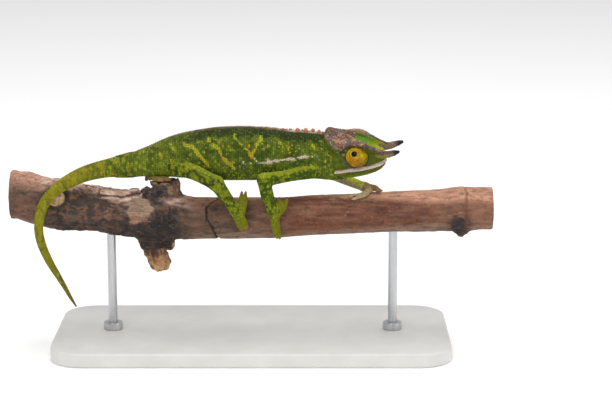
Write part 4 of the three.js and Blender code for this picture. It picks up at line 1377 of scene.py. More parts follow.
def ring_faces(rows, sides, closed=False):
    """Quads between each ring of points and the next, and from the last to the first if closed."""
    faces = []
    for row in range(rows if closed else rows - 1):
        below, above = row * sides, (row + 1) % rows * sides
        for s in range(sides):
            t = (s + 1) % sides
            faces.append((below + s, below + t, above + t, above + s))
    return faces


def lathe(profile, sides, closed=False):
    """Points and faces of a turned form: profile rows are radius, height along +Z."""
    turn = np.arange(sides) * 2 * np.pi / sides
    rings = [
        np.column_stack([radius * np.cos(turn), radius * np.sin(turn), np.full(sides, height)])
        for radius, height in profile
    ]
    return np.vstack(rings), ring_faces(len(profile), sides, closed)


def mesh_object(name, points, faces, materials, colours, uv=None):
    """An object from points in millimetres and faces of one size."""
    mesh = bpy.data.meshes.new(name)
    mesh.vertices.add(len(points))
    mesh.vertices.foreach_set("co", (np.asarray(points, float) * MM).ravel())
    mesh.loops.add(faces.size)
    mesh.loops.foreach_set("vertex_index", faces.ravel().astype(np.int32))
    mesh.polygons.add(len(faces))
    mesh.polygons.foreach_set("loop_start", np.arange(len(faces), dtype=np.int32) * faces.shape[1])
    mesh.update(calc_edges=True)
    if uv is not None:
        layer = mesh.uv_layers.new(name="OFBake")
        layer.uv.foreach_set("vector", np.asarray(uv, np.float32).ravel())
    return finished(name, mesh, materials, colours)


def polygon_object(name, points, faces, materials, colours=None):
    """An object from points in millimetres and faces of several sizes."""
    mesh = bpy.data.meshes.new(name)
    mesh.from_pydata((np.asarray(points, float) * MM).tolist(), [], faces)
    return finished(name, mesh, materials, colours)


def finished(name, mesh, materials, colours):
    """Shades a mesh smoothly, paints it, and puts it in the scene."""
    mesh.polygons.foreach_set("use_smooth", np.full(len(mesh.polygons), True))
    if colours is not None:
        layer = mesh.color_attributes.new("paint", "FLOAT_COLOR", "POINT")
        rgba = np.column_stack([np.clip(colours, 0, 1), np.ones(len(colours))])
        layer.data.foreach_set("color", rgba.astype(np.float32).ravel())
    for material in materials:
        mesh.materials.append(material)
    piece = bpy.data.objects.new(name, mesh)
    bpy.context.scene.collection.objects.link(piece)
    return piece


def belongs(piece, slot, *replaced):
    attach(piece, "root")
    if replaced:
        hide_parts(*replaced)


class Nodes:
    """Shorthand for building one material's nodes."""

    def __init__(self, name):
        self.material = bpy.data.materials.new(name)
        self.material.use_nodes = True
        self.tree = self.material.node_tree
        self.shader = self.tree.nodes["Principled BSDF"]

    def add(self, kind, **settings):
        node = self.tree.nodes.new(kind)
        for key, value in settings.items():
            if key in node.inputs:
                node.inputs[key].default_value = value
            else:
                setattr(node, key, value)
        return node

    def link(self, output, target):
        self.tree.links.new(output, target)

    def places(self, stretch=(1, 1, 1), shift=(0, 0, 0)):
        """Object coordinates, stretched and then shifted in metres."""
        mapping = self.add("ShaderNodeMapping", Scale=stretch, Location=shift)
        self.link(self.add("ShaderNodeTexCoord").outputs["Object"], mapping.inputs["Vector"])
        return mapping.outputs["Vector"]

    def noise(self, size_mm, detail=3.0, roughness=0.5, stretch=(1, 1, 1)):
        settings = {"Scale": 1 / (size_mm * MM), "Detail": detail, "Roughness": roughness}
        node = self.add("ShaderNodeTexNoise", **settings)
        self.link(self.places(stretch), node.inputs["Vector"])
        return node.outputs["Fac"]

    def ramp(self, value, *stops):
        node = self.add("ShaderNodeValToRGB")
        elements = node.color_ramp.elements
        while len(elements) < len(stops):
            elements.new(0.5)
        for element, (place, shade) in zip(elements, stops):
            element.position = place
            element.color = (*shade, 1) if isinstance(shade, tuple) else (shade, shade, shade, 1)
        self.link(value, node.inputs["Fac"])
        return node.outputs["Color"]

    def mix(self, kind, factor, a, b):
        node = self.add("ShaderNodeMix", data_type="RGBA", blend_type=kind)
        if isinstance(factor, (int, float)):
            node.inputs["Factor"].default_value = factor
        else:
            self.link(factor, node.inputs["Factor"])
        for socket, value in ((node.inputs[6], a), (node.inputs[7], b)):
            if isinstance(value, tuple):
                socket.default_value = (*value, 1)
            else:
                self.link(value, socket)
        return node.outputs[2]

    def paint(self):
        return self.add("ShaderNodeAttribute", attribute_name="paint").outputs["Color"]

    def base(self, colour):
        self.link(colour, self.shader.inputs["Base Color"])

    def bump(self, height, depth_mm, strength=1.0):
        node = self.add("ShaderNodeBump", Strength=strength, Distance=depth_mm * MM)
        self.link(height, node.inputs["Height"])
        if self.shader.inputs["Normal"].links:
            self.link(self.shader.inputs["Normal"].links[0].from_socket, node.inputs["Normal"])
        self.link(node.outputs["Normal"], self.shader.inputs["Normal"])

    def finish(self, **values):
        """Sets the shader's own values, with _ for each space in their names."""
        for key, value in values.items():
            self.shader.inputs[key.replace("_", " ")].default_value = value
        return self.material


# Hides by slot: name, roughness, size of the grain in millimetres, darkest and palest shade.
HIDES = {
    "skin": ("hide", 0.5, 0.5, (0.9, 1.08)),
    "head_skin": ("head_hide", 0.55, 0.4, (0.85, 1.1)),
    "horn": ("horn_hide", 0.45, 0.35, (0.85, 1.1)),
    "eye_lid": ("lid_hide", 0.5, 0.3, (0.88, 1.08)),
}


def hide_material(name, roughness, grain_mm, shade_range):
    """Painted scaly hide with a fine grain."""
    nodes = Nodes(name)
    low, high = shade_range
    grain = nodes.noise(grain_mm, 4)
    shade = nodes.ramp(grain, (0.3, low), (0.7, high))
    nodes.base(nodes.mix("MULTIPLY", 1.0, nodes.paint(), shade))
    nodes.bump(nodes.noise(grain_mm * 0.6, 2), 0.03, 0.6)
    return nodes.finish(Roughness=roughness, Specular_IOR_Level=0.14)


def gloss_material(name):
    """The wet surface of the eyeball."""
    nodes = Nodes(name)
    streaks = nodes.ramp(nodes.noise(0.15, 2), (0.3, 0.8), (0.7, 1.0))
    nodes.base(nodes.mix("MULTIPLY", 1.0, nodes.paint(), streaks))
    return nodes.finish(Roughness=0.12, Specular_IOR_Level=0.18)


def bark_material():
    nodes = Nodes("bark_surface")
    streaks = nodes.noise(1.6, 6, 0.62, (0.45, 1, 1))
    flecks = nodes.noise(0.55, 4, 0.6, (1.6, 0.6, 0.6))
    pale = nodes.ramp(nodes.noise(0.8, 3, 0.7, (0.5, 1, 1)), (0.62, 0.0), (0.72, 1.0))
    streaks = nodes.ramp(streaks, (0.25, 0.62), (0.5, 1.0), (0.75, 1.32))
    flecks = nodes.ramp(flecks, (0.34, 0.5), (0.44, 1.0))
    colour = nodes.mix("MULTIPLY", 1.0, nodes.paint(), streaks)
    colour = nodes.mix("MULTIPLY", 0.75, colour, flecks)
    share = nodes.mix("MULTIPLY", 1.0, pale, (0.35, 0.35, 0.35))
    nodes.base(nodes.mix("MIX", share, colour, (0.5, 0.36, 0.27)))
    nodes.bump(nodes.noise(1.1, 6, 0.65, (0.5, 1, 1)), 0.35, 0.7)
    nodes.bump(nodes.noise(0.3, 3, 0.6), 0.08, 0.6)
    return nodes.finish(Roughness=0.82)


def cut_wood_material(centre_height):
    """Sawn ends with growth rings round the pith."""
    nodes = Nodes("cut_wood")
    waves = {"wave_type": "RINGS", "rings_direction": "X", "Detail Scale": 2.0}
    rings = nodes.add("ShaderNodeTexWave", Scale=160, Distortion=1.2, **waves)
    across = nodes.places((0, 1, 1), (0, 0.0004, -centre_height * MM))
    nodes.link(across, rings.inputs["Vector"])
    wood = nodes.ramp(rings.outputs["Fac"], (0.1, (0.42, 0.27, 0.15)), (0.8, (0.6, 0.44, 0.28)))
    grain = nodes.ramp(nodes.noise(0.4, 4), (0.3, 0.8), (0.7, 1.1))
    nodes.base(nodes.mix("MULTIPLY", 1.0, wood, grain))
    nodes.bump(nodes.noise(0.25, 3), 0.06, 0.6)
    return nodes.finish(Roughness=0.75)


def stand_material():
    nodes = Nodes("stand_lacquer")
    tone = nodes.ramp(nodes.noise(9, 3), (0.3, (0.66, 0.645, 0.615)), (0.7, (0.72, 0.705, 0.675)))
    nodes.base(tone)
    nodes.bump(nodes.noise(0.5, 2), 0.01, 0.4)
    return nodes.finish(Roughness=0.42, Coat_Weight=0.25, Coat_Roughness=0.2)


def steel_material():
    nodes = Nodes("brushed_steel")
    brushing = nodes.noise(0.25, 3, 0.6, (1, 1, 0.08))
    nodes.base(nodes.ramp(brushing, (0.3, (0.46, 0.47, 0.48)), (0.7, (0.62, 0.63, 0.64))))
    nodes.link(nodes.ramp(brushing, (0.3, 0.26), (0.7, 0.4)), nodes.shader.inputs["Roughness"])
    nodes.bump(brushing, 0.01, 0.5)
    return nodes.finish(Metallic=1.0)


# ---------------------------------------------------------------- skin and scales


SKIN_GAP_PAINTED_SHADE = 0.62  # painted shade: the skin, seen in the gaps between the scales, is darker than the scales that stand on it


def build_skin(animal, unwrap, markings, points, quads, owners, material):
    even = np.full(len(points), 0.5)
    # The skin is a darker copy of the scales' colours: painted shade in the gaps between them.
    colours = markings(points, animal.normal(points), owners, even) * SKIN_GAP_PAINTED_SHADE
    face_owners = owners[quads[:, 0]]
    near = unwrap.angles(points[quads].mean(1), face_owners)
    corners = quads.ravel()
    uv = unwrap.places(points[corners], np.repeat(face_owners, 4), np.repeat(near, 4))
    skin = mesh_object("skin", points, quads, [material], colours, uv)
    flesh = ["head", "jaw", "neck", "trunk", "tail_1", "tail_2", "tail_3", "tail_4"]
    for name in LEGS:
        flesh += [f"leg_{name}_{p}" for p in ("upper", "lower", "foot", "toes_outer", "toes_inner")]
    belongs(skin, "skin", *flesh)
    print("skin", len(quads) * 2, "triangles")


def lip_places(animal, side):
    """Rows of lip plates above and below the slit of the mouth, with their directions."""
    rows = []
    for offset, pitch in ((0.7, 0.95), (-0.5, 0.8)):
        x = -6.9
        while x < 9.6:
            height = mouth_height(np.array(x)) + offset
            width = np.interp(x, *np.array(SKULL_STATIONS)[:, [0, 3]].T) * 0.95
            rows.append((x, side * width, float(height), pitch, offset))
            x += pitch * (0.95 - 0.25 * max(0.0, x) / 10)
    rows = np.array(rows)
    centres = animal.project(to_world(rows[:, :3]), SURFACE_LEVEL)
    return centres, rows[:, 3], rows[:, 4]


def lay_lips(animal, markings, scales, taken, generator):
    """Plates along the lips, which keep the other scales off their places."""
    forward = HEAD_TURN @ np.array([1.0, 0, 0.12])
    for side in SIDES:
        centres, pitch, offset = lip_places(animal, side)
        kept = spread(centres, pitch * 0.72, taken)
        centres, pitch, offset = centres[kept], pitch[kept], offset[kept]
        count = len(kept)
        normals = animal.normal(centres)
        head = np.full(count, PART["head"])
        tint = markings(centres, normals, head, generator.uniform(0.35, 0.75, count))
        shape = (pitch * 1.05, np.where(offset > 0, 1.3, 0.75), np.full(count, 0.17))
        scales.add(centres, normals, np.tile(forward, (count, 1)), shape, tint, head)


def even_places(animal, tubes):
    """Places of the even rows that settle on their own part of the skin."""
    lattice, parts = rows_of_scales(tubes)
    settled = animal.project(lattice, SURFACE_LEVEL)
    steady = np.linalg.norm(settled - lattice, axis=1) < 0.9
    steady &= np.abs(animal.sample(settled) - SURFACE_LEVEL) < 0.1
    steady &= animal.owner_at(settled) == parts
    return settled[steady]


def loose_places(animal, points, quads, owners, generator):
    """Random places that fill what the even rows leave bare, above all on head and feet."""
    density = [DENSITY["feet"] if is_foot(name) else DENSITY["rest"] for name in PARTS]
    density[PART["head"]] = DENSITY["head"]
    loose = random_places(points, quads, owners, np.array(density), generator)
    return animal.project(loose, SURFACE_LEVEL, 2)


def lay_scales(animal, tubes, markings, points, quads, owners, generator):
    """All scales of the animal but those of the eyes and horns."""
    scales = Scales()
    taken = {}
    lay_lips(animal, markings, scales, taken, generator)
    loose = loose_places(animal, points, quads, owners, generator)
    places = np.vstack([even_places(animal, tubes), loose])
    part = animal.owner_at(places)
    size = scale_size(places, part, tubes)
    kept = spread(places, size, taken)
    places, part, size = places[kept], part[kept], size[kept]
    count = len(kept)
    normals = animal.normal(places)
    tint = markings(places, normals, part, generator.random(count))
    casque = casque_share(places) * (part == PART["head"])
    growth = 1.0 + 0.12 * generator.standard_normal(count) * (0.5 + casque)
    size = size * np.clip(growth, 0.8, 1.35)
    shape = (size * 1.06, size, size * (0.24 + 0.08 * casque))
    scales.add(places, normals, along_parts(tubes, places, part), shape, tint, part)
    return scales.all()


def build_coat(rows, unwrap, materials):
    """Joins the scales into six pieces: head, trunk behind and ahead of a split, tail, and the legs of
    each side. Joins the scales into pieces, each of less than 200,000 triangles.
    """
    names = np.array(PARTS)[rows[:, 15].astype(int)]
    head, trunk, tail = (names == name for name in ("head", "trunk", "tail"))
    right = np.char.find(names, "right") >= 0
    behind = rows[:, 0] < COAT_SPLIT_X
    groups = {
        "scales_head": head,
        "scales_trunk_rear": trunk & behind,
        "scales_trunk_front": trunk & ~behind,
        "scales_tail": tail,
        "scales_legs_right": right,
        "scales_legs_left": ~(head | trunk | tail | right),
    }
    for name, chosen in groups.items():
        slot = "head_skin" if name == "scales_head" else "skin"
        build_scales(name, rows[chosen], materials, slot, unwrap)


def tube_mesh(path, sides, flatness=1.0):
    """Points and faces of a closed tapered tube; the last point of the path is its tip."""
    tube = Tube(*smooth_path(path))
    turn = np.arange(sides)[:, None] * 2 * np.pi / sides
    spokes = np.cos(turn) * tube.up[:, None] + flatness * np.sin(turn) * tube.aside[:, None]
    rings = tube.centres[:, None] + tube.radii[:, None, None] * spokes
    count = len(tube.radii)
    points = np.vstack([rings.reshape(-1, 3), tube.centres[:1], tube.centres[-1:]])
    faces = [(a, d, c, b) for a, b, c, d in ring_faces(count, sides)]
    first, last = count * sides, count * sides + 1
    last_ring = first - sides
    for s in range(sides):
        after = (s + 1) % sides
        faces += [(first, s, after), (last, last_ring + after, last_ring + s)]
    return points, faces


def joined(parts):
    """One set of points and faces from several."""
    points, faces, start = [], [], 0
    for some_points, some_faces in parts:
        points.append(some_points)
        faces += [tuple(start + i for i in face) for face in some_faces]
        start += len(some_points)
    return np.vstack(points), faces


def build_claws(material):
    parts, colours = [], []
    for name, leg in LEGS.items():
        for n, (toe, tip) in enumerate(zip(leg["toes"], leg["claws"])):
            kind = "pale_claw" if name == "front_left" and n > 0 else "claw"
            root, before, tip = np.array(toe[-1][:3]), np.array(toe[-2][:3]), np.array(tip)
            ahead = (root - before) / np.linalg.norm(root - before)
            middle = (root + tip) / 2 + ahead * CLAW["bow"]
            radii = CLAW["radii"]
            path = [(*place, radius) for place, radius in zip((root, middle, tip), radii)]
            parts.append(tube_mesh(path, CLAW["sides"], CLAW["flatness"]))
            places = parts[-1][0]
            from_root = np.linalg.norm(places - root, axis=1) / CLAW["fade"]
            colours.append(Paint(kind, len(places)).lay(f"{kind}_tip", from_root).colours)
    points, faces = joined(parts)
    belongs(polygon_object("claws", points, faces, [material], np.vstack(colours)), "horn")


def crest_spine(x, radius, height, tint, generator):
    """Points, faces and colours of one scale of the crest, which leans back a little."""
    _, top, _, _, shift = station(BODY_STATIONS, x)[0]
    lean = generator.uniform(-0.15, 0.15)
    rise = height + CREST_SINK
    root = np.array([x, shift + generator.uniform(-0.12, 0.12), top - CREST_SINK])
    tip = root + (-0.25 * height, lean, rise)
    middle = (root + tip) / 2 + (0.1, 0, 0)
    upper = middle * 0.35 + tip * 0.65
    path = zip((root, middle, upper, tip), (1, 0.9, 0.7, 0.35))
    points, faces = tube_mesh([(*place, radius * share) for place, share in path], 8, 0.85)
    # Painted light: each spine is darker at its root and paler towards its tip.
    share = np.clip((points[:, 2] - root[2]) / rise, 0, 1)[:, None]
    return points, faces, tint * (0.55 + 0.5 * share)


def build_crest(material, generator):
    """Small pointed scales along the nape and, lower, down the whole back."""
    spines = []
    for x, radius, height in CREST:
        tint = PALETTE["crest_cone"] * generator.uniform(0.8, 1.1)
        spines.append(crest_spine(x, radius, height - 0.1, tint, generator))
    x, end_x = CREST_REACH
    while x < end_x:
        share = smoothstep(-20, 14, x)
        tint = PALETTE["crest_rear"] * (1 - share) + PALETTE["crest_nape"] * share
        tint = tint * generator.uniform(0.65, 1.1)
        height = 0.16 + 0.3 * share * generator.random()
        spines.append(crest_spine(x, 0.27 + 0.08 * share, height, tint, generator))
        x += generator.uniform(0.55, 0.85)
    points, faces = joined([spine[:2] for spine in spines])
    colours = np.vstack([spine[2] for spine in spines])
    belongs(polygon_object("crest", points, faces, [material], colours), "head_skin")


# ---------------------------------------------------------------- eyes and horns


def facing(direction):
    """Turn that takes +Z to the direction."""
    return np.array(Vector(direction).to_track_quat("Z", "Y").to_matrix())


def build_lid(side, turn, centre, material):
    """The dome of the lid, with its small round opening on the gaze."""
    angles = np.linspace(math.asin(LID_RIM_RADIUS / LID_RADIUS), LID_EDGE, LID_RINGS)
    outer = [(LID_RADIUS * math.sin(a), LID_RADIUS * math.cos(a)) for a in angles]
    inner = [(radius * LID_HOLLOW, height * LID_HOLLOW) for radius, height in outer[::-1]]
    points, faces = lathe(LID_LIP + outer + inner, LID_SIDES, closed=True)
    from_gaze = np.hypot(points[:, 0], points[:, 1])
    rim = smoothstep(LID_RIM_RADIUS, LID_RIM_RADIUS - 0.2, from_gaze) * (points[:, 2] > 0)
    colours = Paint("lid_skin", len(points)).lay("lid_rim", rim).colours
    name = SIDES[side]
    faces = [face[::-1] for face in faces]
    lid = polygon_object(f"eyelid_{name}", points @ turn.T + centre, faces, [material], colours)
    belongs(lid, "eye_lid", f"eye_{name}")


def build_eyeball(side, turn, centre, material):
    """The ball that fills the lid's opening, black out to the pupil's edge and gold round it."""
    radius, height, rings, sides = (EYEBALL[key] for key in ("radius", "height", "rings", "sides"))
    angles = np.linspace(0.001, math.pi - 0.001, rings)
    profile = [(radius * math.sin(a), height + radius * math.cos(a)) for a in angles]
    points, faces = lathe(profile, sides)
    count = len(points)
    faces += [tuple(range(sides)), tuple(range(count - 1, count - sides - 1, -1))]
    from_gaze = np.hypot(points[:, 0], points[:, 1])
    ring = smoothstep(PUPIL_RADIUS - 0.02, PUPIL_RADIUS + 0.05, from_gaze)
    colours = Paint("pupil", count).lay("iris", ring * (points[:, 2] > height)).colours
    name = SIDES[side]
    faces = [face[::-1] for face in faces]
    ball = polygon_object(f"eyeball_{name}", points @ turn.T + centre, faces, [material], colours)
    belongs(ball, "eyeball", f"pupil_{name}")


def lid_colours(normals, local, side, generator):
    """local is the same directions as normals with the head's axes, but for its roll and turn."""
    ahead, up = local[:, 0], local[:, 2]
    chance = generator.random(len(normals))
    patches = noise(normals * LID_RADIUS, 1.3, 14 + side, 2)
    paint = Paint("lid", len(normals))
    paint.lay("lid_top", smoothstep(0.05, 0.6, up) * 0.7)
    paint.lay("lid_front", smoothstep(0.1, 0.8, ahead) * 0.8)
    paint.lay("lid_low", smoothstep(-0.05, -0.6, up) * 0.75)
    paint.lay("lid_brown", smoothstep(0.15, 0.45, patches) * 0.5)
    paint.lay("lid_bright", smoothstep(0.1, 0.45, -patches) * 0.5)
    paint.lay("lid_orange", (chance < 0.14) * 0.6)
    paint.lay("lid_dark", (chance > 0.92) * 0.7)
    paint.lay("lid_grey", smoothstep(-0.55, -0.85, up) * 0.85)
    return paint.colours * generator.uniform(0.82, 1.15, (len(normals), 1))


def lid_scales(side, turn, centre, generator):
    """Rings of small granules round the opening of the lid."""
    places, along = [], []
    angle = math.asin(LID_SCALES_FROM / LID_RADIUS)
    row = 0
    while angle < LID_EDGE - 0.06:
        count = round(2 * math.pi * LID_RADIUS * math.sin(angle) / LID_PITCH)
        around = (np.arange(count) + 0.5 * (row % 2)) * 2 * np.pi / count
        around += generator.uniform(-0.12, 0.12, count) * LID_PITCH / LID_RADIUS
        level, out = np.full(count, math.cos(angle)), math.sin(angle)
        places.append(np.column_stack([out * np.cos(around), out * np.sin(around), level]))
        along.append(np.column_stack([-np.sin(around), np.cos(around), 0 * around]))
        angle += LID_PITCH * 0.95 / LID_RADIUS
        row += 1
    normals = np.vstack(places)
    count = len(normals)
    size = np.full(count, LID_PITCH) * generator.uniform(0.92, 1.1, count)
    tint = lid_colours(normals, normals @ facing(GAZE[side]).T, side, generator)
    world = normals @ turn.T
    scales = Scales()
    shape = (size * 1.05, size, size * 0.24)
    owner = np.full(count, PART["head"])
    scales.add(centre + world * LID_RADIUS, world, np.vstack(along) @ turn.T, shape, tint, owner)
    return scales.all()


def build_eye(side, materials, unwrap, generator):
    """Scaly lid dome with a small round opening, and the eyeball that fills it."""
    turn = HEAD_TURN @ facing(GAZE[side])
    centre = to_world(eye_centre(side))
    build_lid(side, turn, centre, materials["eye_lid"])
    build_eyeball(side, turn, centre, materials["eyeball"])
    rows = lid_scales(side, turn, centre, generator)
    build_scales(f"scales_eyelid_{SIDES[side]}", rows, materials, "eye_lid", unwrap)


def horn_colours(place, jitter):
    """Horns are pinkish grey-brown, green below at the root and nearly black at the tip."""
    x, z = place[:, 0], place[:, 2]
    above = z - np.interp(x, *np.array(HORN)[:, [0, 2]].T)
    patchy = noise(place, 1.2, 8, 2)
    right = place[:, 1] < 0
    green = smoothstep(0.05, -0.4, above) * smoothstep(13.4, 12, x)
    paint = Paint("horn", len(x))
    paint.lay("horn_grey", smoothstep(-0.1, 0.6, patchy) * 0.8)
    paint.lay("horn_pale", (jitter > 0.85) * 0.45)
    paint.lay("horn_dark", right * smoothstep(0.0, 0.5, above) * 0.55)
    paint.lay("horn_green", green * np.where(right, 0.9, 0.35))
    return paint.lay("horn_tip", smoothstep(13.0, 14.1, x) * 0.92).colours


def horn_scales(field, points, quads, scales, generator):
    """Adds the scales of one horn, set loosely over its blade."""
    one_part = np.zeros(len(points), int)
    places = random_places(points, quads, one_part, np.array([DENSITY["horns"]]), generator)
    places = places[places[:, 0] > HORN_SCALES["from_x"]]
    size = np.interp(places[:, 0], HORN_SCALES["x"], HORN_SCALES["size"])
    kept = spread(places, size, {})
    places, size = places[kept], size[kept]
    count = len(kept)
    tint = horn_colours(places, generator.random(count))
    tint = tint * generator.uniform(0.8, 1.15, (count, 1))
    along = np.tile(HEAD_TURN @ np.array([1.0, 0, 0.3]), (count, 1))
    shape = (size * 1.15, size, size * 0.26)
    normals = field.normal(places) @ HEAD_TURN.T
    scales.add(to_world(places), normals, along, shape, tint, np.full(count, PART["head"]))


def build_horns(materials, unwrap, generator):
    """Two flat blunt horns, each a scaly blade that grows out of the brow ridge."""
    scales = Scales()
    for side, name in SIDES.items():
        middle = np.array([11.5, 4.0 * side, 4.0])
        field = Field(middle - (5.5, 2.6, 3.2), middle + (5, 2.6, 3.2), HORN_CELL)
        field.add_tube(mirrored(HORN, side), 0.3, 0, HORN_FLATNESS)
        points, quads = field.surface(SURFACE_LEVEL)
        points = points + field.normal(points) * (0.07 * noise(points, 0.8, 11, 2))[:, None]
        # Painted shade: the sheath is a darker copy of the horn's colours, seen between its scales.
        colours = horn_colours(points, np.full(len(points), 0.5)) * 0.7
        surfaces = [materials["horn"]]
        horn = mesh_object(f"horn_sheath_{name}", to_world(points), quads, surfaces, colours)
        belongs(horn, "horn", f"horn_{name}")
        horn_scales(field, points, quads, scales, generator)
    build_scales("scales_horns", scales.all(), materials, "horn", unwrap)


# ---------------------------------------------------------------- branch

# A dark crack round the branch: angle from the top towards the front in degrees, x.
RING_CRACK = [
    (-40, -10.3),
    (0, -11.7),
    (30, -14.3),
    (48, -15.7),
    (80, -15.6),
    (105, -14.1),
    (145, -12.3),
    (200, -11.3),
]
NODE_X = 73.2  # swollen node near the front end
RIDGE_X = NODE_X + 2.2  # the ring that runs round the branch beside it
SPUR_X, STUB_X = -31.2, -33
SPUR_WIDTH, STUB_WIDTH = 7.5, 8  # reach of their colours to either side
# Flakes of loose bark: start, end, radius. Torn fibres: start, end.
FLAKES = [
    ((-52.5, -3.2, 56.0), (-45.0, -3.4, 55.2), 0.6),
    ((-46.0, -2.6, 55.2), (-40.0, -1.6, 55.9), 0.7),
]
FIBRES = [((-28.6, -3.0, 37.4), (-27.0, -3.2, 36.4)), ((-28.8, -3.0, 36.4), (-27.6, -3.2, 35.0))]
# Jagged bark on the rear slope of the spur: x, z, radius.
SPUR_LUMPS = [(-39.6, 55.0, 0.8), (-38.3, 55.7, 0.9), (-36.9, 56.6, 1.0)]
SPLINTERS = 9  # round the broken end of the stub
# Swellings: centre, radii, softness of the join.
NODE_SWELLING = ((NODE_X + 0.6, -2.2, 41.2), (2.4, 2.4, 1.5), 1.2)
COLLAR_SWELLING = ((-29.2, -2.6, 37.0), (2.4, 3.0, 2.4), 0.9)


def in_side_view(start, end):
    return [(start[0], start[2]), (end[0], end[2])]


def turn_from_top(points):
    """Angle round the branch in degrees: 0 on top, 90 in front, 180 below."""
    rise = points[:, 2] - branch_middle(points[:, 0])
    return np.degrees(np.arctan2(-points[:, 1], rise))


def crack_distance(points):
    turn = turn_from_top(points)
    turn = np.where(turn < -80, turn + 360, turn)
    place = np.interp(turn, *np.array(RING_CRACK).T)
    inside = smoothstep(-42, -25, turn) * smoothstep(205, 190, turn)
    return np.abs(points[:, 0] - place + 0.35 * noise(points, 1.2, 21, 2)) + 3 * (1 - inside)


def furrow_depth(points):
    """0 in the middle of a furrow of the old bark, larger away from it."""
    return np.abs(noise(points * (0.5, 1, 1), 1.9, 23, 2))


def roughness_share(points):
    """1 where the bark is old, grey and furrowed, 0 where it is young and smooth."""
    x = points[:, 0]
    share = smoothstep(-18, -28, x) * (0.45 + 0.55 * smoothstep(-80, -66, x))
    node = bump(x - NODE_X, 3.0) * smoothstep(50, 44, points[:, 2])
    return np.clip(np.maximum(share, bump(x - STUB_X, 8.5)) + node, 0, 1)


def add_wood(field):
    """The branch with its spur, stub, twig scar and swellings."""
    block, (x, y, z) = field.block(np.array((-90, -12, 20)), np.array((90, 12, 70)))
    field.value[block] = np.minimum(branch_distance(x, y, z), FAR)
    for path, blend in ((SPUR, 2.0), (SPUR_RIM, 1.0), (STUB, 1.6)):
        for ends in zip(path[:-1], path[1:]):
            field.add_stump(ends, blend)
    scar = np.array(TWIG_SCAR)
    field.add_ball(scar[:3], (scar[3] + 0.8, 2.2, scar[3] + 0.5), 1.2)
    field.add_ball(scar[:3] + (0, -0.5, 0), (2.3, 2.4, 2.3), 0.4)
    field.add_ball(*NODE_SWELLING)
    field.add_ball(*COLLAR_SWELLING)


def add_loose_bark(field):
    """Fibres, lumps, flakes and the splinters of the stub."""
    for start, end in FIBRES:
        field.add_tube([(*start, 0.5), (*end, 0.3)], 0.3)
    for x, z, radius in SPUR_LUMPS:
        field.add_ball((x, -1.0, z), (radius, 1.6, radius * 0.9), 0.4)
    for start, end, radius in FLAKES:
        middle = tuple((a + b) / 2 for a, b in zip(start, end))
        field.add_tube([(*start, 0.35), (*middle, radius), (*end, 0.45)], 0.4)
    for n in range(SPLINTERS):
        turn = 2 * math.pi * n / SPLINTERS
        root = np.array([-32.8 + 2.2 * math.cos(turn), 2.2 * math.sin(turn), 29.5])
        tip = root + (0.3 * math.cos(3 * n), 0.3, -2.4 + 1.0 * math.sin(5 * n))
        field.add_tube([(*root, 0.9), (*((root + tip) / 2), 0.75), (*tip, 0.3)], 0.4)


def bark_relief(places):
    """Height of the bark's lumps, less its furrows and cracks."""
    on_stub = smoothstep(37.5, 34.5, places[:, 2]) * (np.abs(places[:, 0] - STUB_X) < STUB_WIDTH)
    rough = roughness_share(places) * (1 - 0.75 * on_stub)
    stretched = places * (0.5, 1, 1)
    relief = 0.5 * noise(stretched, 2.6, 22, 3) * (0.2 + 0.8 * rough)
    relief -= 0.55 * smoothstep(0.16, 0.0, furrow_depth(places)) * rough
    relief += 0.07 * noise(stretched, 1.2, 24, 2)
    relief -= 0.6 * smoothstep(0.55, 0.1, crack_distance(places))
    from_ring = np.abs(places[:, 0] - RIDGE_X + 0.3 * noise(places, 2, 25))
    return relief - 0.25 * smoothstep(0.5, 0.1, from_ring)


def cut_ends(field, x, y, z):
    """Saws both ends of the branch off square and breaks the spur off roughly level."""
    sawn = np.maximum(x - BRANCH_HALF, -BRANCH_HALF - x) + 0.02
    field.value = np.maximum(field.value, sawn).astype(np.float32)
    jag = noise(np.stack([x, y, 0 * z], -1)[:, :, 0], 1.3, 26, 2)
    (rim_x, rim_y, rim_z, rim_radius), (spur_x, _, spur_z, _) = SPUR_RIM[-1], SPUR[-1]
    on_rim = np.hypot(x - rim_x, y - rim_y)[:, :, 0] < rim_radius + 0.3
    top = np.where(on_rim, rim_z - 0.5 + 0.9 * jag, spur_z - 0.3 + 0.6 * jag)
    top = np.minimum(top, np.where(on_rim, rim_z, spur_z))
    broken = np.where(np.abs(x - spur_x) < 9, z - top[:, :, None], -FAR)
    field.value = np.maximum(field.value, broken).astype(np.float32)


def shape_branch():
    field = Field((-BRANCH_HALF - 1, -11, 25.5), (BRANCH_HALF + 1, 11, 64.5), BARK_CELL)
    add_wood(field)
    add_loose_bark(field)
    x, y, z = field.grid(sparse=False)
    near = np.abs(field.value) < 1.6
    places = np.column_stack([x[near], y[near], z[near]])
    field.value[near] -= bark_relief(places).astype(np.float32)
    cut_ends(field, x, y, z)
    return field


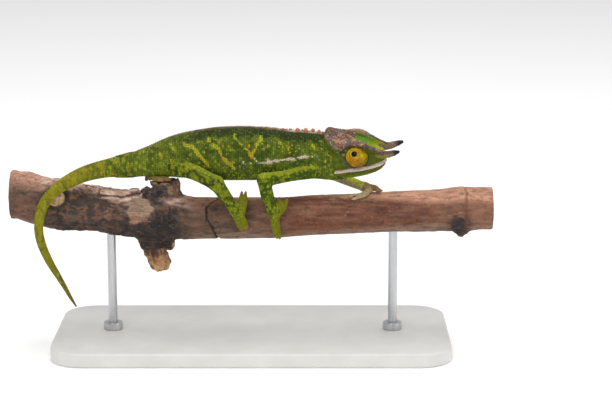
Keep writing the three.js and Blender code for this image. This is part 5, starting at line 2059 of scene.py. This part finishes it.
class BarkColours:
    """Colours of places on the branch. Each method lays one feature over those before it."""

    def __init__(self, points):
        self.points, self.x, self.z = points, points[:, 0], points[:, 2]
        self.front = points[:, 1] < 0
        self.turn = np.abs(turn_from_top(points))
        self.rough = roughness_share(points)
        self.coarse = noise(points * (0.45, 1, 1), 5.0, 31, 3)
        self.fine = noise(points * (0.6, 1, 1), 1.3, 32, 3)

    def paint(self):
        paint = self.young_bark().lay(self.old_bark(), self.rough)
        for feature in (
            self.furrows, self.collar, self.bare_patch, self.twig_scar, self.flakes, self.spur,
            self.stub, self.fibres, self.cracks, self.node, self.specks_and_pale_top,
        ):
            feature(paint)
        return paint.colours

    def young_bark(self):
        x, turn, coarse = self.x, self.turn, self.coarse
        edge = np.interp(x, (-12, 10, 30, 45, 58), (24, 12, 18, 40, 56))
        not_red = smoothstep(57, 70, x) + smoothstep(18, 4, x)
        red = smoothstep(edge - 10, edge + 14, turn) * smoothstep(135, 118, turn)
        middle = smoothstep(22, 45, turn) * smoothstep(12, -4, x)
        streak = noise(self.points * (0.22, 1.3, 1.3), 1.1, 36, 3)
        paint = Paint("bark", len(x))
        paint.lay("bark_top", smoothstep(edge + 14, edge - 14, turn + 8 * coarse))
        paint.lay("bark_red", red * (1 - np.clip(not_red, 0, 1)) * (0.85 + 0.35 * coarse))
        paint.lay("bark_middle", middle * (0.9 + 0.3 * coarse))
        paint.lay("bark_low", smoothstep(118, 140, turn + 10 * coarse) * 0.9)
        paint.lay("bark_dark", smoothstep(0.2, 0.7, streak) * 0.35)
        return paint.lay("bark_low", smoothstep(0.2, 0.7, -streak) * 0.25)

    def old_bark(self):
        turn, coarse, fine = self.turn, self.coarse, self.fine
        far_end = smoothstep(-70, -78, self.x)
        smooth_front = smoothstep(60, 90, turn) * smoothstep(0.4, -0.2, coarse)
        paint = Paint("bark_rough", len(turn))
        paint.lay("bark_rust", smoothstep(0.05, 0.5, -fine + 0.4 * coarse) * 0.6)
        paint.lay("bark_dark", smoothstep(0.05, 0.6, fine + 0.5 * coarse) * 0.7)
        # Painted shade: the underside of the old bark is darker.
        paint.lay("bark_dark", smoothstep(92, 122, turn + 10 * coarse) * 0.6)
        paint.lay("bark_rough_top", smoothstep(56, 32, turn + 12 * coarse) * (0.9 - 0.5 * fine))
        paint.lay("bark_top", far_end * smoothstep(75, 35, turn) * 0.8)
        return paint.lay("bark", far_end * smooth_front * 0.5)

    def furrows(self, paint):
        paint.lay("crack", smoothstep(0.16, 0.02, furrow_depth(self.points)) * self.rough * 0.85)

    def collar(self, paint):
        """Nearly black bark round the root of the stub."""
        collar = bump(self.x + 31.5 + 1.5 * self.coarse, 6.5)
        collar = np.clip(collar * (0.5 + 0.8 * smoothstep(52, 40, self.z)), 0, 1)
        ridges = np.sin(5.5 * self.z + 3 * self.coarse) * smoothstep(43, 40, self.z)
        paint.lay("crack", collar * (0.95 + 0.4 * self.fine))
        paint.lay("bark_rust", collar * smoothstep(0.4, 0.9, ridges) * 0.15)

    def bare_patch(self, paint):
        """Bare wood where the bark has come off, behind the spur."""
        patch = np.hypot((self.x + 40.0 + 1.2 * self.coarse) / 4.9, (self.turn - 70) / 36)
        wood = Paint("bare_wood", len(patch))
        wood.lay("bark_rust", smoothstep(68, 105, self.turn + 14 * self.coarse) * 0.6)
        wood.colours *= (1 + 0.3 * noise(self.points * (0.2, 1, 2.6), 1.0, 37, 2))[:, None]
        paint.lay(wood, smoothstep(1.0, 0.8, patch + 0.15 * self.fine) * self.front * 0.92)

    def twig_scar(self, paint):
        away = np.linalg.norm(self.points - np.array(TWIG_SCAR[:3]) - (0, -1.2, 0), axis=1)
        paint.lay("crack", smoothstep(5.6, 3.6, away) * 0.85)
        paint.lay("knot", smoothstep(3.3, 2.7, away) * (0.85 - 0.45 * self.fine))

    def flakes(self, paint):
        lines = [in_side_view(start, end) for start, end, _ in FLAKES]
        away = np.min([line_distance(self.points[:, [0, 2]], line)[0] for line in lines], axis=0)
        near = self.front & (self.points[:, 1] > -6)
        paint.lay("crack", smoothstep(1.7, 1.1, away) * near * 0.85)
        paint.lay("bark_rough_top", smoothstep(1.0, 0.6, away) * near * (0.8 + 0.4 * self.fine))

    def spur(self, paint):
        x, z = self.x, self.z
        beside = np.abs(x - SPUR_X) < SPUR_WIDTH
        rim = smoothstep(-30.2, -28.6, x) * smoothstep(54.5, 56.5, z + self.coarse)
        top = np.maximum(smoothstep(57.6, 59.2, z + 0.5 * self.coarse), rim)
        # Dark broken spur from the neck up: its own dark wood, with painted shade under the broken top.
        paint.lay("crack", smoothstep(53.0, 54.5, z) * beside * (0.85 - 0.3 * self.fine))
        # Pale broken top, with a painted highlight on its right rim.
        paint.lay("spur_top_and_highlight", top * beside * (0.75 - 0.6 * self.fine))

    def stub(self, paint):
        x, z, fine = self.x, self.z, self.fine
        wood = smoothstep(36.4, 35.0, z + 0.8 * fine) * (np.abs(x - STUB_X) < STUB_WIDTH)
        wood = wood * (x < -29.4 + 0.2 * (35 - z))
        grain = noise(self.points * (1, 1, 0.25), 0.9, 33, 2)
        paint.lay("stub_top", wood)
        paint.lay("stub", wood * smoothstep(33.8, 31.8, z + 0.8 * self.coarse))
        paint.lay("stub_pale", wood * smoothstep(30.5, 27.5, z + fine) * 0.8)
        paint.lay("crack", wood * smoothstep(0.25, 0.6, grain) * 0.6)
        paint.lay("stub_pale", wood * smoothstep(0.2, 0.6, -grain) * 0.4)

    def fibres(self, paint):
        tip = smoothstep(-28.4, -27.6, self.x) * (self.points[:, 1] < -1)
        for start, end in FIBRES:
            away, _ = line_distance(self.points[:, [0, 2]], in_side_view(start, end))
            paint.lay("knot", smoothstep(0.8, 0.5, away) * tip * 0.9)

    def cracks(self, paint):
        """The ring crack, a painted shadow beside it near the hind foot, and a split near the stub."""
        x, turn = self.x, self.turn
        paint.lay("crack", smoothstep(0.7, 0.15, crack_distance(self.points)) * 0.95)
        # Painted shadow on the front of the branch near the hind foot.
        painted_shade_near_foot = np.exp(-(((x + 13.4) / 1.7) ** 2 + ((turn - 58) / 14) ** 2)) * self.front
        paint.lay("bark_dark", painted_shade_near_foot * (0.6 + 0.9 * self.fine))
        split = smoothstep(0.5, 0.15, np.abs(x + 28.7 + 0.5 * noise(self.points, 2.2, 35, 2)))
        paint.lay("crack", split * smoothstep(50, 62, turn) * smoothstep(125, 112, turn) * self.front)

    def node(self, paint):
        dark = bump(self.x - NODE_X, 4.2) * smoothstep(51, 44, self.z) * (0.9 + 0.9 * self.fine)
        paint.lay("bark_dark", dark)
        paint.lay("bark_red", bump(self.x - RIDGE_X + 0.4 * self.coarse, 0.5) * 0.7)

    def specks_and_pale_top(self, paint):
        """Dark specks everywhere, and paler bark on the top beside the far front foot."""
        specks = smoothstep(0.66, 0.9, noise(self.points * (0.8, 1.4, 1.4), 0.8, 34))
        pale_top = bump(self.x - 31.5, 4.2) * smoothstep(32, 12, self.turn + 12 * self.fine)
        paint.lay("crack", specks * 0.45)
        paint.lay("knot", pale_top * (self.points[:, 1] < 2) * 0.6)


def build_branch(materials):
    points, quads = shape_branch().surface(0.0)
    surfaces = [materials["bark"], materials["cut_wood"]]
    branch = mesh_object("branch", points, quads, surfaces, BarkColours(points).paint())
    sawn = np.abs(points[quads].mean(1)[:, 0]) > BRANCH_HALF - 0.12
    branch.data.polygons.foreach_set("material_index", sawn.astype(np.int32))
    belongs(branch, "bark", "perch_branch")
    print("branch", len(quads) * 2, "triangles")


# ---------------------------------------------------------------- stand


def rounded_ring(inset, height):
    """Corners and edges of the slab at one height, drawn in by the inset."""
    radius = BASE["corner"] - inset
    ring = []
    for corner, (sx, sy) in enumerate(((1, 1), (-1, 1), (-1, -1), (1, -1))):
        middle_x = sx * (BASE["length"] / 2 - BASE["corner"])
        middle_y = sy * (BASE["width"] / 2 - BASE["corner"])
        for step in range(CORNER_STEPS + 1):
            turn = math.pi / 2 * (corner + step / CORNER_STEPS)
            ring.append((middle_x + radius * math.cos(turn), middle_y + radius * math.sin(turn), height))
    return ring


def build_base(material):
    """The slab, with its upper and lower edges rounded."""
    bevel, height = BASE["bevel"], BASE["height"]
    turns = np.linspace(0, math.pi / 2, BEVEL_STEPS)[::-1]
    profile = [(bevel - bevel * math.cos(a), bevel - bevel * math.sin(a)) for a in turns]
    profile += [(inset, height - level) for inset, level in profile[::-1]]
    points = [place for inset, level in profile for place in rounded_ring(inset, level)]
    side = len(points) // len(profile)
    faces = [tuple(range(side - 1, -1, -1)), tuple(range(len(points) - side, len(points)))]
    faces += ring_faces(len(profile), side)
    base = polygon_object("stand_slab", points, faces, [material])
    sharpen(base)
    belongs(base, "stand_base", "stand_base")


def build_turned(name, profile, x, material, replaced):
    points, faces = lathe(profile, TURNED_SIDES, closed=True)
    piece = polygon_object(name, points + (x, 0, 0), faces, [material])
    sharpen(piece)
    belongs(piece, "stand_steel", replaced)


def sharpen(piece):
    """Keeps edges crisp where faces meet at a wide angle."""
    piece.data.set_sharp_from_angle(angle=SHARP_ANGLE)


def rod_profile(x):
    _, middle, perch_radius = station(BRANCH_STATIONS, x)[0]
    top, bottom = middle - perch_radius + ROD["socket"], BASE["height"] - 0.2
    radius = ROD["radius"]
    return [(0.001, bottom), (radius, bottom), (radius, top), (0.001, top)]


def collar_profile():
    low, high = BASE["height"] + 0.02, BASE["height"] + CLEAR + ROD["collar_height"]
    bore, outer, edge = ROD["radius"] + 0.05, ROD["collar_radius"], 0.35
    foot = [(bore, low), (outer - edge * 0.4, low), (outer, low + edge * 0.4)]
    shoulder = [(outer, high - edge), (outer - edge * 0.3, high - edge * 0.3), (outer - edge, high)]
    return foot + shoulder + [(bore + 0.15, high), (bore, high - 0.15)]


def build_stand(materials):
    build_base(materials["stand_base"])
    steel = materials["stand_steel"]
    for x, name in ((-ROD["spacing"] / 2, "rear"), (ROD["spacing"] / 2, "front")):
        for kind, profile in (("rod", rod_profile(x)), ("collar", collar_profile())):
            build_turned(f"stand_{kind}_{name}_steel", profile, x, steel, f"stand_{kind}_{name}")


# ---------------------------------------------------------------- floor, light and camera


def build_floor():
    corner = FLOOR_SIZE / 2
    points = [(x * corner, y * corner, -0.05) for x, y in ((-1, -1), (1, -1), (1, 1), (-1, 1))]
    nodes = Nodes("studio_floor")
    nodes.base(nodes.ramp(nodes.noise(400, 2), (0.3, 0.93), (0.7, 0.95)))
    nodes.finish(
        Roughness=0.9, Specular_IOR_Level=0.0, Emission_Color=(1, 1, 1, 1), Emission_Strength=FLOOR_GLOW
    )
    floor = polygon_object("floor", points, [(0, 1, 2, 3)], [nodes.material])


def aimed(name, data, place, target):
    """An object for a light or camera that looks at the target."""
    holder = bpy.data.objects.new(name, data)
    holder.location = place
    holder.rotation_euler = (target - Vector(place)).to_track_quat("-Z", "Y").to_euler()
    bpy.context.scene.collection.objects.link(holder)
    return holder


def build_lights(target):
    world = bpy.data.worlds.new("studio")
    world.use_nodes = True
    background = world.node_tree.nodes["Background"].inputs
    background["Color"].default_value = (1, 1, 1, 1)
    background["Strength"].default_value = WORLD_STRENGTH
    bpy.context.scene.world = world
    for name, place, size, power in LIGHTS:
        light = bpy.data.lights.new(name, "AREA")
        light.shape = "DISK"
        light.size = size
        light.energy = power
        aimed(name, light, place, target)


def build_camera(target):
    camera = bpy.data.cameras.new("camera")
    camera.sensor_width = SENSOR_WIDTH
    camera.lens = SENSOR_WIDTH * CAMERA["distance"] / CAMERA["width_at_target"]
    camera.clip_start, camera.clip_end = 0.01, 20
    tilt = math.radians(CAMERA["elevation"])
    away = Vector((0, -math.cos(tilt), math.sin(tilt))) * CAMERA["distance"] * MM
    bpy.context.scene.camera = aimed("camera", camera, target + away, target)


# ---------------------------------------------------------------- everything together


def main():
    generator = np.random.default_rng(SEED)
    materials = {slot: hide_material(*values) for slot, values in HIDES.items()}
    materials["eyeball"] = gloss_material("eye_surface")
    materials["bark"] = bark_material()
    materials["cut_wood"] = cut_wood_material(branch_middle(np.array([BRANCH_HALF]))[0])
    materials["stand_base"] = stand_material()
    materials["stand_steel"] = steel_material()

    target = Vector(CAMERA["target"]) * MM
    build_floor()
    build_lights(target)
    build_camera(target)
    bpy.context.scene.view_settings.view_transform = "Standard"
    build_stand(materials)
    build_branch(materials)

    tubes = make_tubes()
    unwrap = Unwrap(tubes)
    animal = shape_animal(shape_head())
    points, quads = animal.surface(SURFACE_LEVEL)
    owners = animal.owner_at(points)
    markings = Markings(tubes, points, owners, generator)
    build_skin(animal, unwrap, markings, points, quads, owners, materials["skin"])
    rows = lay_scales(animal, tubes, markings, points, quads, owners, generator)
    build_coat(rows, unwrap, materials)
    for side in SIDES:
        build_eye(side, materials, unwrap, generator)
    build_horns(materials, unwrap, generator)
    build_claws(materials["horn"])
    build_crest(materials["head_skin"], generator)


main()
